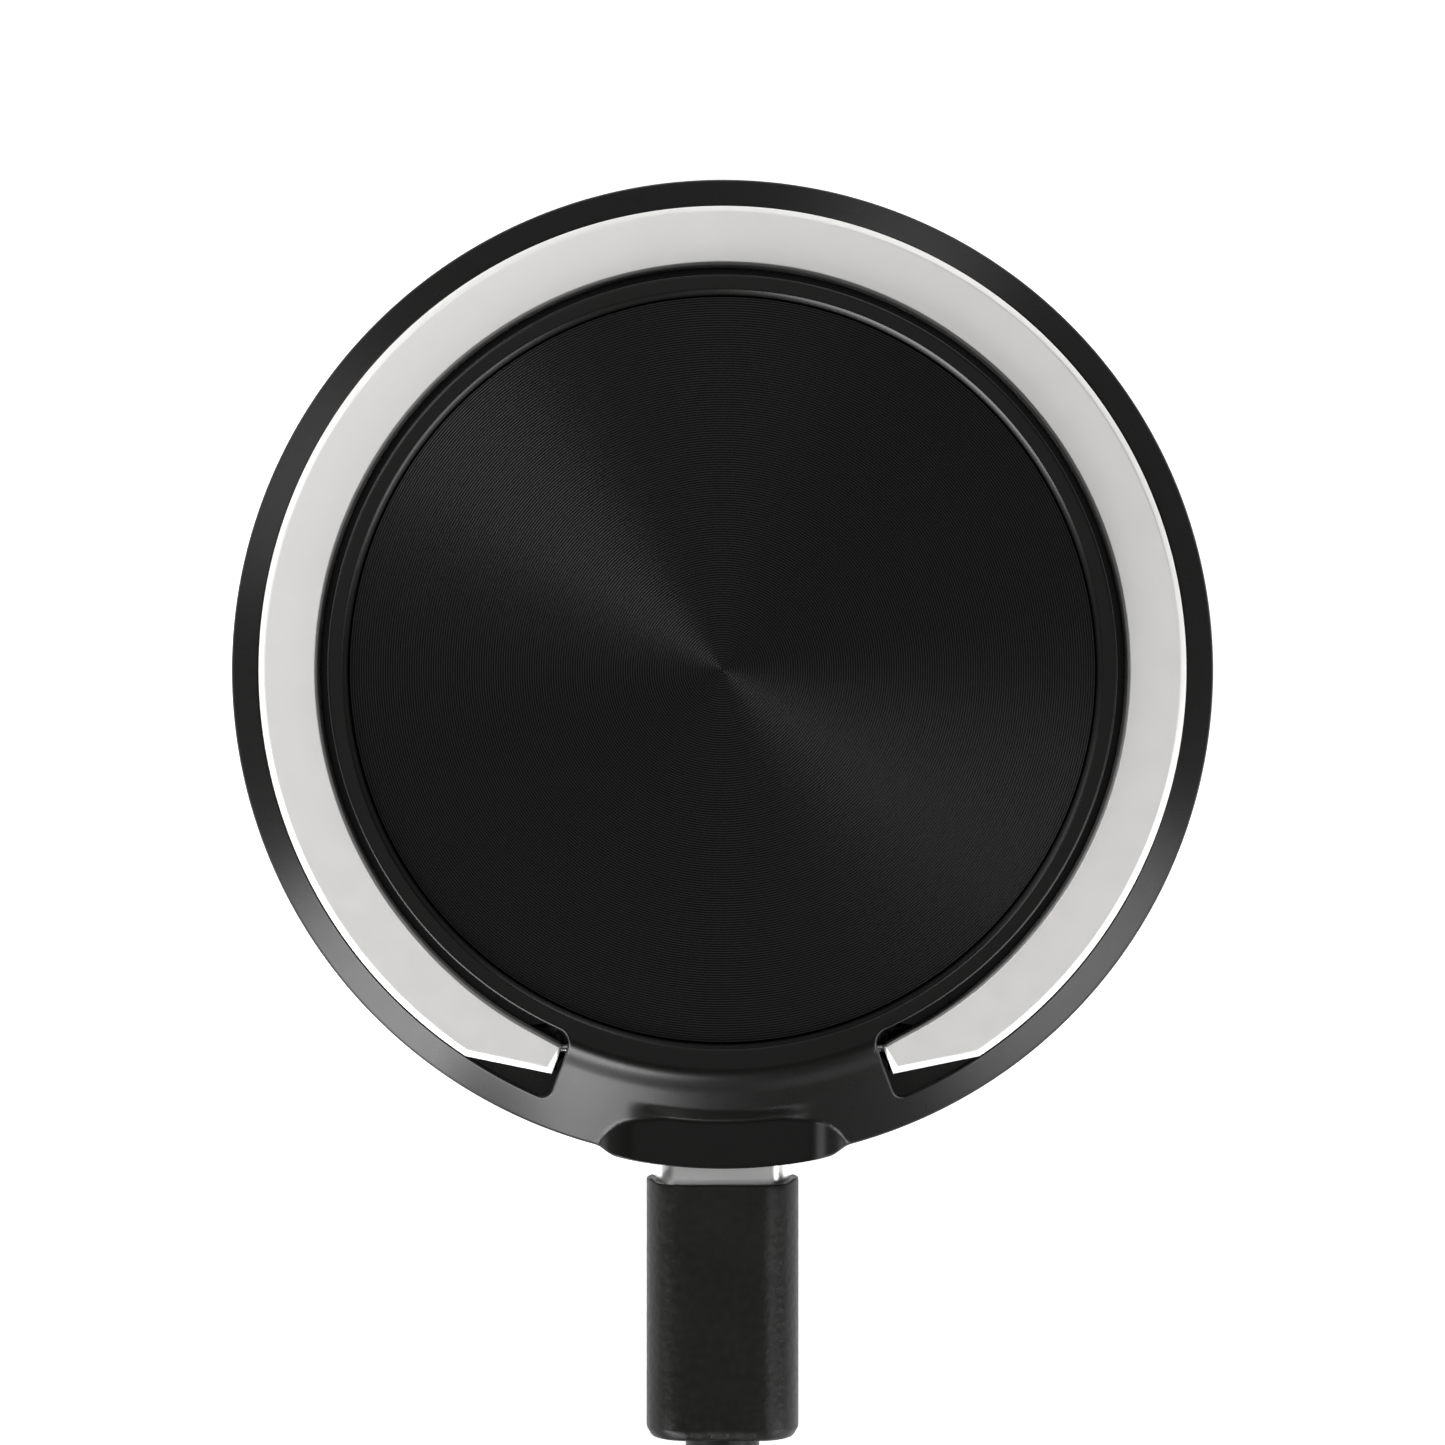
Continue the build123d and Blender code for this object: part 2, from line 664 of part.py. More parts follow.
coil_length = COIL_ROWS**2 * 2 * pi * COIL_MEAN_R
print("lead: run %.1f, coil %.1f, end %.1f" % (run_length, coil_length, end_length))
print("arc radii", [round(r, 1) for r in tube_radii(LEAD_POINTS) + tube_radii(END_POINTS)])
print("tube volume over section x length", cable_run.volume / (pi * CABLE_R**2 * run_length))
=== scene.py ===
"""Looks of the round magnetic wireless charger with its ring stand and lead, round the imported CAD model.

Everything is in the CAD model's frame. Shapes are worked out in millimetres and turned into metres
when a mesh is made. +Z is the back of the charger, which is the side that is seen, and the lead leaves
along -Y. Azimuths are in degrees from +X, counter-clockwise seen from above.
"""

import math

import bmesh
import bpy
import numpy as np
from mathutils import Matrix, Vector
from mathutils.geometry import delaunay_2d_cdt


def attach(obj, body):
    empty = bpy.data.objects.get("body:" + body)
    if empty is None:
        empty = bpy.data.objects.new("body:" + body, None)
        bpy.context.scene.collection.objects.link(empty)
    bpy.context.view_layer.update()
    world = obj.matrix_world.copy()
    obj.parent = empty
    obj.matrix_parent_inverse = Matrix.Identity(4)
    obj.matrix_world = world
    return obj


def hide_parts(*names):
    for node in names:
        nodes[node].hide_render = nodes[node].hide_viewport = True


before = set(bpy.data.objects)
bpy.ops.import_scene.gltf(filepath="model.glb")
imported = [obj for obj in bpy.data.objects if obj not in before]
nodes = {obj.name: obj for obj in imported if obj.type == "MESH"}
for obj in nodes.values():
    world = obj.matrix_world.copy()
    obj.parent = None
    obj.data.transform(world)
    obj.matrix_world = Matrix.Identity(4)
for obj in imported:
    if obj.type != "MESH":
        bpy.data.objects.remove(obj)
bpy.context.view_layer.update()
MM = 0.001

# ---- camera ----
CAMERA_Y = -3.21
CAMERA_Z = 250.3
LENS = 99.07

# ---- puck ----
PUCK_R = 30.25
RIM_FOOT_Z = 5.3
RIM_SLOPE = 0.7
RIM_EDGE_R = 0.13
SHELL_BOTTOM = 0.6
BOTTOM_CHAMFER = 0.35
SEAT_R = 29.0
LEDGE_Z = 1.7
CAVITY_R = 28.0
CAVITY_Z = 5.5
BOSS_CAVITY_R = 21.3
BOSS_CAVITY_Z = 7.2
BOSS_Z = 9.4
ROLL_R = (24.2, 25.9)
SLOT_R = (23.95, 28.4)
SLOT_FLOOR_Z = 6.3
SLOT_EDGE_R = 0.16
SLOT_OUTER_CORNER_R = 0.6
SLOT_INNER_CORNER_R = 0.9
RECESS_R = 22.72
RECESS_BEVEL = 0.34
RECESS_Z = 8.05
DISC_R = 22.65
DISC_TOP = 9.0
DISC_T = 0.85
GROOVE_DEPTH = 0.024
GROOVES = 155
GROOVED_R = DISC_R - 0.08
GROOVE_PITCH = GROOVED_R / GROOVES

# ---- socket fairing ----
SPOUT_Z = 6.8
SPOUT_TOP_X = 5.1
SHOULDER_R = 3.0
SPOUT_FOOT_X = 7.7
SPOUT_BULGE = 0.3
DISH_R = (26.8, 27.6)
DISH_DEPTH = 0.32
FOOT_BLEND = 0.08
FINE_SPAN = 23.5
DISH_X = (3.2, 6.0)

# ---- ring stand and hinge ----
RING_R = (24.65, 28.25)
RING_Z = (6.45, 8.55)
RING_INNER_SHIFT = 0.12
RING_BEVEL = 0.37
INNER_BEVEL = 0.17
RING_INNER_END = (9.75, -22.9)
RING_OUTER_END = (10.4, -24.6)
RING_OUTER_KINK_X = 15.65
END_GAP = 0.36
HINGE = (-23.05, 7.4)
SWEEPS = (((9.7, 1.25), (10.15, 1.52)), ((10.15, 1.86), (15.4, 1.27)))

# ---- plug and lead ----
PORT_Z = 4.2
PLUG_FACE_Y = -31.3
NOSE = (8.25, 2.4, 7.0)
NOSE_WALL = 0.28
BODY = (9.4, 5.6, 16.0)
RELIEF_L = 9.0
RELIEF_R = (2.3, 2.05)
CABLE_D = 3.8
OVERMOLD_CORNER_R = 2.5
FRONT_DISH = 0.24
COIL_CENTRE = (-16.0, -85.0)
COIL_RADII = (23.8, 20.0, 16.2)
TIE_ANGLE = 320.0
TIE_T = 0.7
TIE_W = 8.0


# ==================================================================================== mesh tools
def make_object(name, vertices, faces, body, smooth_angle=32.0, materials=()):
    """A mesh piece from millimetre points, smooth but for edges sharper than smooth_angle."""
    mesh = bpy.data.meshes.new(name)
    mesh.from_pydata([tuple(v) for v in np.asarray(vertices) * MM], [], faces)
    mesh.validate()
    mesh.shade_smooth()
    mesh.set_sharp_from_angle(angle=math.radians(smooth_angle))
    mesh.update()
    obj = bpy.data.objects.new(name, mesh)
    bpy.context.scene.collection.objects.link(obj)
    for material in materials:
        mesh.materials.append(material)
    if body:
        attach(obj, body)
    return obj


class Shape:
    """Collects points and faces of one closed surface."""

    def __init__(self):
        self.points = []
        self.faces = []

    def ring(self, points):
        """Adds a run of points and returns their numbers."""
        first = len(self.points)
        self.points.extend([tuple(float(c) for c in p) for p in points])
        return list(range(first, len(self.points)))

    def strip(self, a, b):
        """Faces between two closed runs of as many points."""
        for i in range(len(a)):
            j = (i + 1) % len(a)
            self.faces.append((a[i], a[j], b[j], b[i]))

    def loft(self, rings):
        """Faces from each closed run to the next one."""
        for a, b in zip(rings, rings[1:]):
            self.strip(a, b)

    def fan(self, ring, centre, flip=False):
        """Closes a run with triangles to one middle point."""
        middle = self.ring([centre])[0]
        for i, a in enumerate(ring):
            b = ring[(i + 1) % len(ring)]
            self.faces.append((b, a, middle) if flip else (a, b, middle))

    def fill(self, outlines, inside, height, extra=(), flip=False):
        """Fills a plane region between numbered outlines; height gives z for the extra inner points."""
        flat = []
        numbers = []
        edges = []
        for outline in outlines:
            start = len(flat)
            flat.extend(Vector(self.points[i][:2]) for i in outline)
            numbers.extend(outline)
            count = len(outline)
            edges.extend((start + i, start + (i + 1) % count) for i in range(count))
        if len(extra):
            flat.extend(Vector(p) for p in extra)
            numbers.extend(self.ring([(p[0], p[1], height(p[0], p[1])) for p in extra]))
        made, _, triangles, origins, _, _ = delaunay_2d_cdt(flat, edges, [], 0, 1e-7)
        index = [numbers[o[0]] for o in origins]
        for a, b, c in triangles:
            middle = (made[a] + made[b] + made[c]) / 3
            if not inside(middle.x, middle.y):
                continue
            corner = [index[a], index[b], index[c]]
            turn = (made[b] - made[a]).cross(made[c] - made[a])
            if (turn < 0) != flip:
                corner.reverse()
            self.faces.append(tuple(corner))


def circle(radius, count):
    """Points on a circle, the first at -Y, as an array of x and y."""
    a = np.radians(-90 + np.arange(count) * 360 / count)
    return np.stack([radius * np.cos(a), radius * np.sin(a)], 1)


def raised(flat, z):
    """Flat points lifted to one height."""
    return [(x, y, z) for x, y in flat]


def normals_of(flat):
    """Unit normals of a closed counter-clockwise outline, pointing out of it, with mitred lengths."""
    ahead = np.roll(flat, -1, 0) - flat
    ahead /= np.linalg.norm(ahead, axis=1)[:, None]
    out = np.stack([ahead[:, 1], -ahead[:, 0]], 1)
    mean = out + np.roll(out, 1, 0)
    mean /= np.linalg.norm(mean, axis=1)[:, None]
    return mean / np.clip((mean * out).sum(1), 0.5, 1)[:, None]


def resample(flat, step):
    """The same closed outline with its long edges divided."""
    points = []
    for a, b in zip(flat, np.roll(flat, -1, 0)):
        parts = max(1, int(np.linalg.norm(b - a) / step))
        points.extend(a + (b - a) * k / parts for k in range(parts))
    return np.array(points)


def arc(centre, radius, start, end, step):
    """Points of an arc between two azimuths, both ends included."""
    count = max(2, int(abs(end - start) / step) + 1)
    a = np.radians(np.linspace(start, end, count))
    return [(centre[0] + radius * math.cos(t), centre[1] + radius * math.sin(t)) for t in a]


def turn_to(first, last):
    """The shorter turn in degrees from one azimuth to another."""
    return (last - first + 180) % 360 - 180


def azimuth(point, centre=(0, 0)):
    return math.degrees(math.atan2(point[1] - centre[1], point[0] - centre[0]))


def smooth(t):
    """An even ease from 0 to 1."""
    t = np.clip(t, 0, 1)
    return t * t * (3 - 2 * t)


def inside_polygon(flat):
    """A quick test of points against one closed outline."""
    xs, ys = flat[:, 0], flat[:, 1]
    xe, ye = np.roll(xs, -1), np.roll(ys, -1)

    def test(x, y):
        crosses = (ys > y) != (ye > y)
        at = xs[crosses] + (y - ys[crosses]) * (xe - xs)[crosses] / (ye - ys)[crosses]
        return int((at > x).sum()) % 2 == 1

    return test


# ==================================================================================== camera and cord
def make_camera():
    data = bpy.data.cameras.new("camera")
    data.sensor_width = 36.0
    data.lens = LENS
    data.clip_start = 0.01
    data.clip_end = 20.0
    camera = bpy.data.objects.new("camera", data)
    camera.location = (0, CAMERA_Y * MM, CAMERA_Z * MM)
    bpy.context.scene.collection.objects.link(camera)
    bpy.context.scene.camera = camera


# the lead's own points from the plug to the coil, and its end round the coil's middle up to the far plug
LEAD_POINTS = [
    (0.0, -56.3, 4.2),
    (0.0, -60.8, 4.2),
    (0.9, -66.4, 2.4),
    (4.7, -72.6, 1.9),
    (7.4, -79.2, 1.9),
]
END_POINTS = [
    (2.6, -16.2, 9.5),
    (-2.6, -16.2, 9.7),
    (-7.5, -14.6, 10.9),
    (-11.6, -11.6, 12.4),
    (-14.6, -7.5, 13.7),
    (-16.2, -2.6, 14.2),
    (-16.2, 2.5, 14.2),
]
COIL_TURNS = 8.2
POINTS_PER_TURN = 18
STEP_TURN = 0.79
STEP_WIDTH = 0.12


def tie_lift(angle):
    """How far the strap's thickness lifts the turns that lie on it."""
    away = abs((angle - TIE_ANGLE + 180) % 360 - 180)
    return TIE_T * float(1 - smooth((away - 14) / 20))


def coil_points():
    """Neat turns wound clockwise: layer by layer, inwards, outwards and inwards again."""
    last = len(COIL_RADII) - 1
    order = []
    for layer in range(3):
        steps = range(last + 1) if layer % 2 == 0 else range(last, -1, -1)
        order.extend((COIL_RADII[s], CABLE_D * (layer + 0.5)) for s in steps)
    widen = 1 / math.cos(math.pi / POINTS_PER_TURN)
    points = []
    for k in range(int(COIL_TURNS * POINTS_PER_TURN)):
        turn = k / POINTS_PER_TURN
        here = int(turn)
        radius, z = order[here]
        if here + 1 < len(order):
            share = float(smooth((turn - here - STEP_TURN) / STEP_WIDTH + 0.5))
            radius += (order[here + 1][0] - radius) * share
            z += (order[here + 1][1] - z) * share
        angle = -1.2 - 360 * turn
        radius *= widen
        points.append((
            COIL_CENTRE[0] + radius * math.cos(math.radians(angle)),
            COIL_CENTRE[1] + radius * math.sin(math.radians(angle)),
            z + tie_lift(angle % 360),
        ))
    return points


def make_cord(materials):
    """The whole lead as one smooth curve: start, put-away coil and end."""
    end = [(COIL_CENTRE[0] + x, COIL_CENTRE[1] + y, z) for x, y, z in END_POINTS]
    points = LEAD_POINTS + coil_points() + end
    data = bpy.data.curves.new("lead", "CURVE")
    data.dimensions = "3D"
    spline = data.splines.new("NURBS")
    spline.points.add(len(points) - 1)
    for point, (x, y, z) in zip(spline.points, points):
        point.co = (x * MM, y * MM, z * MM, 1)
    spline.order_u = 3
    spline.use_endpoint_u = True
    data.resolution_u = 6
    data.bevel_depth = CABLE_D / 2 * MM
    data.bevel_resolution = 6
    data.use_fill_caps = True
    lead = bpy.data.objects.new("lead", data)
    bpy.context.scene.collection.objects.link(lead)
    data.materials.append(materials["cable"])
    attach(lead, "cable")
    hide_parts("cable_run", "cable_coil", "cable_end_run")
    return lead


# ==================================================================================== materials
def new_material(name, color, metallic=0.0, roughness=0.5, **sockets):
    """A Principled material with its even values on the shader's own sockets."""
    material = bpy.data.materials.new(name)
    material.use_nodes = True
    tree = material.node_tree
    shader = tree.nodes["Principled BSDF"]
    shader.inputs["Base Color"].default_value = (*color, 1)
    shader.inputs["Metallic"].default_value = metallic
    shader.inputs["Roughness"].default_value = roughness
    for socket, value in sockets.items():
        shader.inputs[socket.replace("_", " ")].default_value = value
    material.diffuse_color = (*color, 1)
    return material, tree, shader


def noise(tree, size_mm, detail=3.0, distortion=0.0, stretch=(1, 1, 1), seed=0.0):
    """A noise texture of the given grain size in object space."""
    place = tree.nodes.new("ShaderNodeTexCoord")
    mapping = tree.nodes.new("ShaderNodeMapping")
    mapping.inputs["Scale"].default_value = stretch
    mapping.inputs["Location"].default_value = (seed, seed * 0.7, seed * 1.3)
    texture = tree.nodes.new("ShaderNodeTexNoise")
    texture.inputs["Scale"].default_value = 1 / (size_mm * MM)
    texture.inputs["Detail"].default_value = detail
    texture.inputs["Distortion"].default_value = distortion
    tree.links.new(place.outputs["Object"], mapping.inputs["Vector"])
    tree.links.new(mapping.outputs["Vector"], texture.inputs["Vector"])
    return texture.outputs["Fac"]


def cells(tree, size_mm):
    """Rounded leather-like cells of the given size in object space."""
    place = tree.nodes.new("ShaderNodeTexCoord")
    texture = tree.nodes.new("ShaderNodeTexVoronoi")
    texture.feature = "SMOOTH_F1"
    texture.inputs["Scale"].default_value = 1 / (size_mm * MM)
    tree.links.new(place.outputs["Object"], texture.inputs["Vector"])
    return texture.outputs["Distance"]


def ramp(tree, value, low, high, start=0.3, end=0.7):
    """The value taken from its usual spread to low..high, as a colour or a number."""
    node = tree.nodes.new("ShaderNodeValToRGB")
    for element, place, shade in zip(node.color_ramp.elements, (start, end), (low, high)):
        element.position = place
        element.color = (*shade, 1) if isinstance(shade, tuple) else (shade, shade, shade, 1)
    tree.links.new(value, node.inputs["Fac"])
    return node.outputs["Color"]


def add_bump(tree, shader, value, depth_mm, strength=1.0):
    """A bump from a height value, on top of the shader's earlier bumps."""
    normal = shader.inputs["Normal"]
    bump = tree.nodes.new("ShaderNodeBump")
    bump.inputs["Strength"].default_value = strength
    bump.inputs["Distance"].default_value = depth_mm * MM
    if normal.is_linked:
        tree.links.new(normal.links[0].from_socket, bump.inputs["Normal"])
    tree.links.new(value, bump.inputs["Height"])
    tree.links.new(bump.outputs["Normal"], normal)


def varied(name, color, spread, roughness, rough_spread, grain_mm, bump_mm, metallic=0.0,
           stretch=(1, 1, 1), **sockets):
    """Colour and roughness that drift a little over the surface, with a fine grain in the normal."""
    material, tree, shader = new_material(name, color, metallic, roughness, **sockets)
    drift = noise(tree, grain_mm * 14, 2.0, stretch=stretch)
    low = tuple(c * (1 - spread) for c in color)
    high = tuple(c * (1 + spread) for c in color)
    tree.links.new(ramp(tree, drift, low, high), shader.inputs["Base Color"])
    cloud = noise(tree, grain_mm * 5, 4.0, stretch=stretch, seed=0.31)
    rough = ramp(tree, cloud, roughness - rough_spread, roughness + rough_spread)
    tree.links.new(rough, shader.inputs["Roughness"])
    add_bump(tree, shader, noise(tree, grain_mm, 3.0, stretch=stretch, seed=0.77), bump_mm)
    return material


def turned():
    """Black anodising on the turned disc, with painted shade: near black in the grooves' valleys and
    lighter on their crests.
    """
    material, tree, shader = new_material("turned_black", (0.004, 0.004, 0.004), 0.0, 0.24,
                                          Specular_IOR_Level=0.16)
    place = tree.nodes.new("ShaderNodeTexCoord")
    flat = tree.nodes.new("ShaderNodeVectorMath")
    flat.operation = "MULTIPLY"
    flat.inputs[1].default_value = (1, 1, 0)
    tree.links.new(place.outputs["Object"], flat.inputs[0])
    radius = tree.nodes.new("ShaderNodeVectorMath")
    radius.operation = "LENGTH"
    tree.links.new(flat.outputs["Vector"], radius.inputs[0])
    turns = tree.nodes.new("ShaderNodeMath")
    turns.operation = "MULTIPLY"
    turns.inputs[1].default_value = 2 * math.pi / (GROOVE_PITCH * MM)
    tree.links.new(radius.outputs["Value"], turns.inputs[0])
    wave = tree.nodes.new("ShaderNodeMath")
    wave.operation = "COSINE"
    tree.links.new(turns.outputs["Value"], wave.inputs[0])
    height = tree.nodes.new("ShaderNodeMath")
    height.operation = "MULTIPLY_ADD"
    height.inputs[1].default_value = 0.5
    height.inputs[2].default_value = 0.5
    tree.links.new(wave.outputs["Value"], height.inputs[0])
    # painted shade: the valleys' colour is darkened far below the crests' to stand in for the shade that
    # falls in the grooves
    valley = (0.0002, 0.0002, 0.0002)
    crest = (0.0105, 0.0104, 0.0102)
    color = ramp(tree, height.outputs["Value"], valley, crest, 0.25, 0.95)
    tree.links.new(color, shader.inputs["Base Color"])
    rough = ramp(tree, noise(tree, 1.5, 4.0), 0.23, 0.25)
    tree.links.new(rough, shader.inputs["Roughness"])
    return material


def leather_grain():
    """Soft black overmould with a fine leather grain: shallow cells and creases, a little uneven."""
    material, tree, shader = new_material(
        "overmold_black", (0.0055, 0.0053, 0.0049), 0.0, 0.36, Specular_IOR_Level=0.22
    )
    drift = noise(tree, 3.0, 3.0)
    tree.links.new(ramp(tree, drift, (0.0045, 0.0043, 0.0040), (0.0068, 0.0066, 0.0061)),
                   shader.inputs["Base Color"])
    rough = ramp(tree, noise(tree, 0.5, 4.0, seed=0.4), 0.34, 0.44)
    tree.links.new(rough, shader.inputs["Roughness"])
    add_bump(tree, shader, cells(tree, 0.42), 0.035, 0.6)
    add_bump(tree, shader, noise(tree, 0.16, 3.0, 0.6), 0.02, 0.5)
    return material


def woven():
    """Hook-and-loop strap: crossing threads from two waves, with fuzz."""
    material, tree, shader = new_material("tie_black", (0.02, 0.02, 0.022), 0.0, 0.85,
                                          Sheen_Weight=0.3)
    place = tree.nodes.new("ShaderNodeTexCoord")
    mapping = tree.nodes.new("ShaderNodeMapping")
    mapping.inputs["Rotation"].default_value = (0, 0, math.radians(-TIE_ANGLE))
    tree.links.new(place.outputs["Object"], mapping.inputs["Vector"])
    height = None
    for direction in ("X", "Y"):
        wave = tree.nodes.new("ShaderNodeTexWave")
        wave.bands_direction = direction
        wave.inputs["Scale"].default_value = 1 / (1.9 * MM)
        wave.inputs["Distortion"].default_value = 0.4
        tree.links.new(mapping.outputs["Vector"], wave.inputs["Vector"])
        if height is None:
            height = wave.outputs["Fac"]
        else:
            mix = tree.nodes.new("ShaderNodeMath")
            mix.operation = "MULTIPLY"
            tree.links.new(height, mix.inputs[0])
            tree.links.new(wave.outputs["Fac"], mix.inputs[1])
            height = mix.outputs[0]
    add_bump(tree, shader, height, 0.12, 0.9)
    fuzz = noise(tree, 0.3, 5.0)
    tree.links.new(ramp(tree, fuzz, (0.012, 0.012, 0.013), (0.035, 0.035, 0.037)),
                   shader.inputs["Base Color"])
    return material


def wound_copper():
    """Enamelled wire wound in fine turns round the axis."""
    material, tree, shader = new_material("coil_copper", (0.62, 0.26, 0.11), 1.0, 0.34)
    place = tree.nodes.new("ShaderNodeTexCoord")
    wave = tree.nodes.new("ShaderNodeTexWave")
    wave.wave_type = "RINGS"
    wave.rings_direction = "Z"
    wave.inputs["Scale"].default_value = 1 / (1.6 * MM)
    wave.inputs["Distortion"].default_value = 0.15
    tree.links.new(place.outputs["Object"], wave.inputs["Vector"])
    tree.links.new(ramp(tree, wave.outputs["Fac"], (0.36, 0.12, 0.05), (0.72, 0.33, 0.14)),
                   shader.inputs["Base Color"])
    add_bump(tree, shader, wave.outputs["Fac"], 0.08, 0.8)
    return material


def make_materials():
    """All materials by a short key, each with its colour, roughness, grain size and bump depth."""
    m = {}
    m["shell"] = varied("satin_black", (0.0030, 0.0028, 0.0026), 0.08, 0.28, 0.008, 0.18, 0.0004,
                        Specular_IOR_Level=0.27)
    m["disc"] = turned()
    m["ring"] = varied("ring_chrome", (0.76, 0.753, 0.742), 0.010, 0.54, 0.015, 0.25, 0.0006,
                       metallic=1.0)
    m["nickel"] = varied("plug_nickel", (0.97, 0.965, 0.96), 0.02, 0.34, 0.03, 0.2, 0.002,
                         metallic=1.0, stretch=(1, 0.08, 1))
    m["overmold"] = leather_grain()
    m["cable"] = varied("cable_black", (0.016, 0.016, 0.016), 0.15, 0.48, 0.05, 0.3, 0.012)
    m["tie"] = woven()
    m["cover"] = varied("front_black", (0.022, 0.022, 0.023), 0.12, 0.5, 0.06, 0.25, 0.006)
    m["pad"] = varied("soft_pad", (0.028, 0.028, 0.029), 0.15, 0.72, 0.05, 0.35, 0.012,
                      Sheen_Weight=0.15)
    m["film"] = varied("adhesive_film", (0.62, 0.58, 0.48), 0.05, 0.35, 0.05, 0.5, 0.004)
    m["frame"] = varied("frame_grey", (0.11, 0.11, 0.12), 0.1, 0.5, 0.05, 0.3, 0.006)
    m["magnet"] = varied("magnet_nickel", (0.66, 0.64, 0.60), 0.05, 0.28, 0.06, 0.3, 0.004,
                         metallic=1.0)
    m["yoke"] = varied("yoke_steel", (0.42, 0.42, 0.43), 0.08, 0.42, 0.08, 0.4, 0.005,
                       metallic=1.0)
    m["copper"] = wound_copper()
    m["ferrite"] = varied("ferrite_grey", (0.045, 0.045, 0.048), 0.2, 0.6, 0.08, 0.3, 0.01)
    m["foil"] = varied("shield_foil", (0.12, 0.12, 0.125), 0.1, 0.35, 0.08, 0.6, 0.02, metallic=0.8)
    m["board"] = varied("board_green", (0.008, 0.085, 0.035), 0.18, 0.38, 0.06, 0.6, 0.01)
    m["chip"] = varied("chip_black", (0.018, 0.018, 0.018), 0.2, 0.62, 0.05, 0.12, 0.006)
    m["capacitor"] = varied("capacitor_tan", (0.42, 0.30, 0.18), 0.12, 0.5, 0.06, 0.2, 0.006)
    m["thermal"] = varied("pad_pink", (0.52, 0.42, 0.48), 0.08, 0.8, 0.05, 0.2, 0.01)
    m["screw"] = varied("screw_steel", (0.52, 0.52, 0.53), 0.06, 0.34, 0.06, 0.2, 0.004,
                        metallic=1.0)
    m["socket"] = varied("socket_steel", (0.62, 0.62, 0.61), 0.05, 0.30, 0.06, 0.2, 0.004,
                         metallic=1.0, stretch=(1, 0.1, 1))
    m["insert"] = varied("socket_black", (0.012, 0.012, 0.012), 0.15, 0.5, 0.05, 0.2, 0.004)
    m["gold"] = varied("contact_gold", (0.80, 0.55, 0.20), 0.05, 0.28, 0.05, 0.2, 0.002,
                       metallic=1.0)
    m["bronze"] = varied("hinge_bronze", (0.45, 0.30, 0.15), 0.15, 0.5, 0.06, 0.12, 0.008,
                         metallic=1.0)
    m["pin"] = varied("hinge_steel", (0.46, 0.46, 0.47), 0.05, 0.25, 0.05, 0.2, 0.002,
                      metallic=1.0)
    return m


NODE_MATERIALS = {
    "cover": ["front_cover"],
    "pad": ["contact_pad"],
    "film": ["disc_adhesive", "cover_adhesive"],
    "frame": ["carrier_frame"],
    "magnet": ["magnet_array"],
    "yoke": ["magnet_yoke"],
    "copper": ["charging_coil", "coil_leads"],
    "ferrite": ["ferrite_disc"],
    "foil": ["heat_shield"],
    "board": ["circuit_board"],
    "chip": ["power_chips", "inductors"],
    "capacitor": ["capacitors"],
    "thermal": ["thermal_pad"],
    "screw": ["board_screws"],
    "socket": ["usb_socket_shell"],
    "insert": ["usb_socket_tongue", "plug_insulator", "far_plug_insulator"],
    "gold": ["usb_socket_contacts", "plug_contacts", "far_plug_contacts"],
    "bronze": ["hinge_bushings"],
    "pin": ["hinge_friction_clips", "hinge_pin_left", "hinge_pin_right"],
}


def dress_nodes(materials):
    """Gives each CAD node that stays in the model its material."""
    for key, names in NODE_MATERIALS.items():
        for name in names:
            mesh = nodes[name].data
            mesh.materials.clear()
            mesh.materials.append(materials[key])


# ==================================================================================== rear shell
def silhouette_radius(around):
    """The puck's outline, a little fuller at the end of the fairing, along unit directions."""
    across = PUCK_R * np.abs(around[..., 0])
    bulge = SPOUT_BULGE * smooth((SPOUT_FOOT_X + 0.1 - across) / 1.3)
    return PUCK_R + np.where(around[..., 1] < 0, bulge, 0)


def quarter_drop(run, radius):
    """How far a quarter round falls at a distance past its crest, then on steeply."""
    run = np.maximum(run, 0)
    inner = np.minimum(run, 0.94 * radius)
    return radius - np.sqrt(radius**2 - inner**2) + 2.8 * (run - inner)


def smooth_max(a, b, width):
    """The higher of two surfaces, with their meeting line softened."""
    near = np.maximum(width - np.abs(a - b), 0) / width
    return np.maximum(a, b) + near**2 * width / 4


def shell_height(x, y):
    """The back of the shell: flat boss, roll into the sloping rim, and the fairing over the socket."""
    r = np.hypot(x, y)
    rim = RIM_FOOT_Z + RIM_SLOPE * (PUCK_R - r)
    rim_at_roll = RIM_FOOT_Z + RIM_SLOPE * (PUCK_R - ROLL_R[1])
    width = ROLL_R[1] - ROLL_R[0]
    t = np.clip((r - ROLL_R[0]) / width, 0, 1)
    roll = ((2 * t**3 - 3 * t**2 + 1) * BOSS_Z + (3 * t**2 - 2 * t**3) * rim_at_roll
            - (t**3 - t**2) * width * RIM_SLOPE)
    base = np.where(r < ROLL_R[0], BOSS_Z, np.where(r > ROLL_R[1], rim, roll))
    across = np.abs(x)
    dish = smooth((r - DISH_R[0]) / (DISH_R[1] - DISH_R[0])) * (1 - 0.3 * smooth((r - DISH_R[1]) / 0.8))
    dish = dish * smooth((DISH_X[1] - across) / (DISH_X[1] - DISH_X[0]))
    base = base - np.where(y < 0, DISH_DEPTH * dish, 0)
    fairing = SPOUT_Z - quarter_drop(across - SPOUT_TOP_X, SHOULDER_R)
    fairing = np.where(y < 0, fairing, 0)
    return smooth_max(base, fairing, FOOT_BLEND)


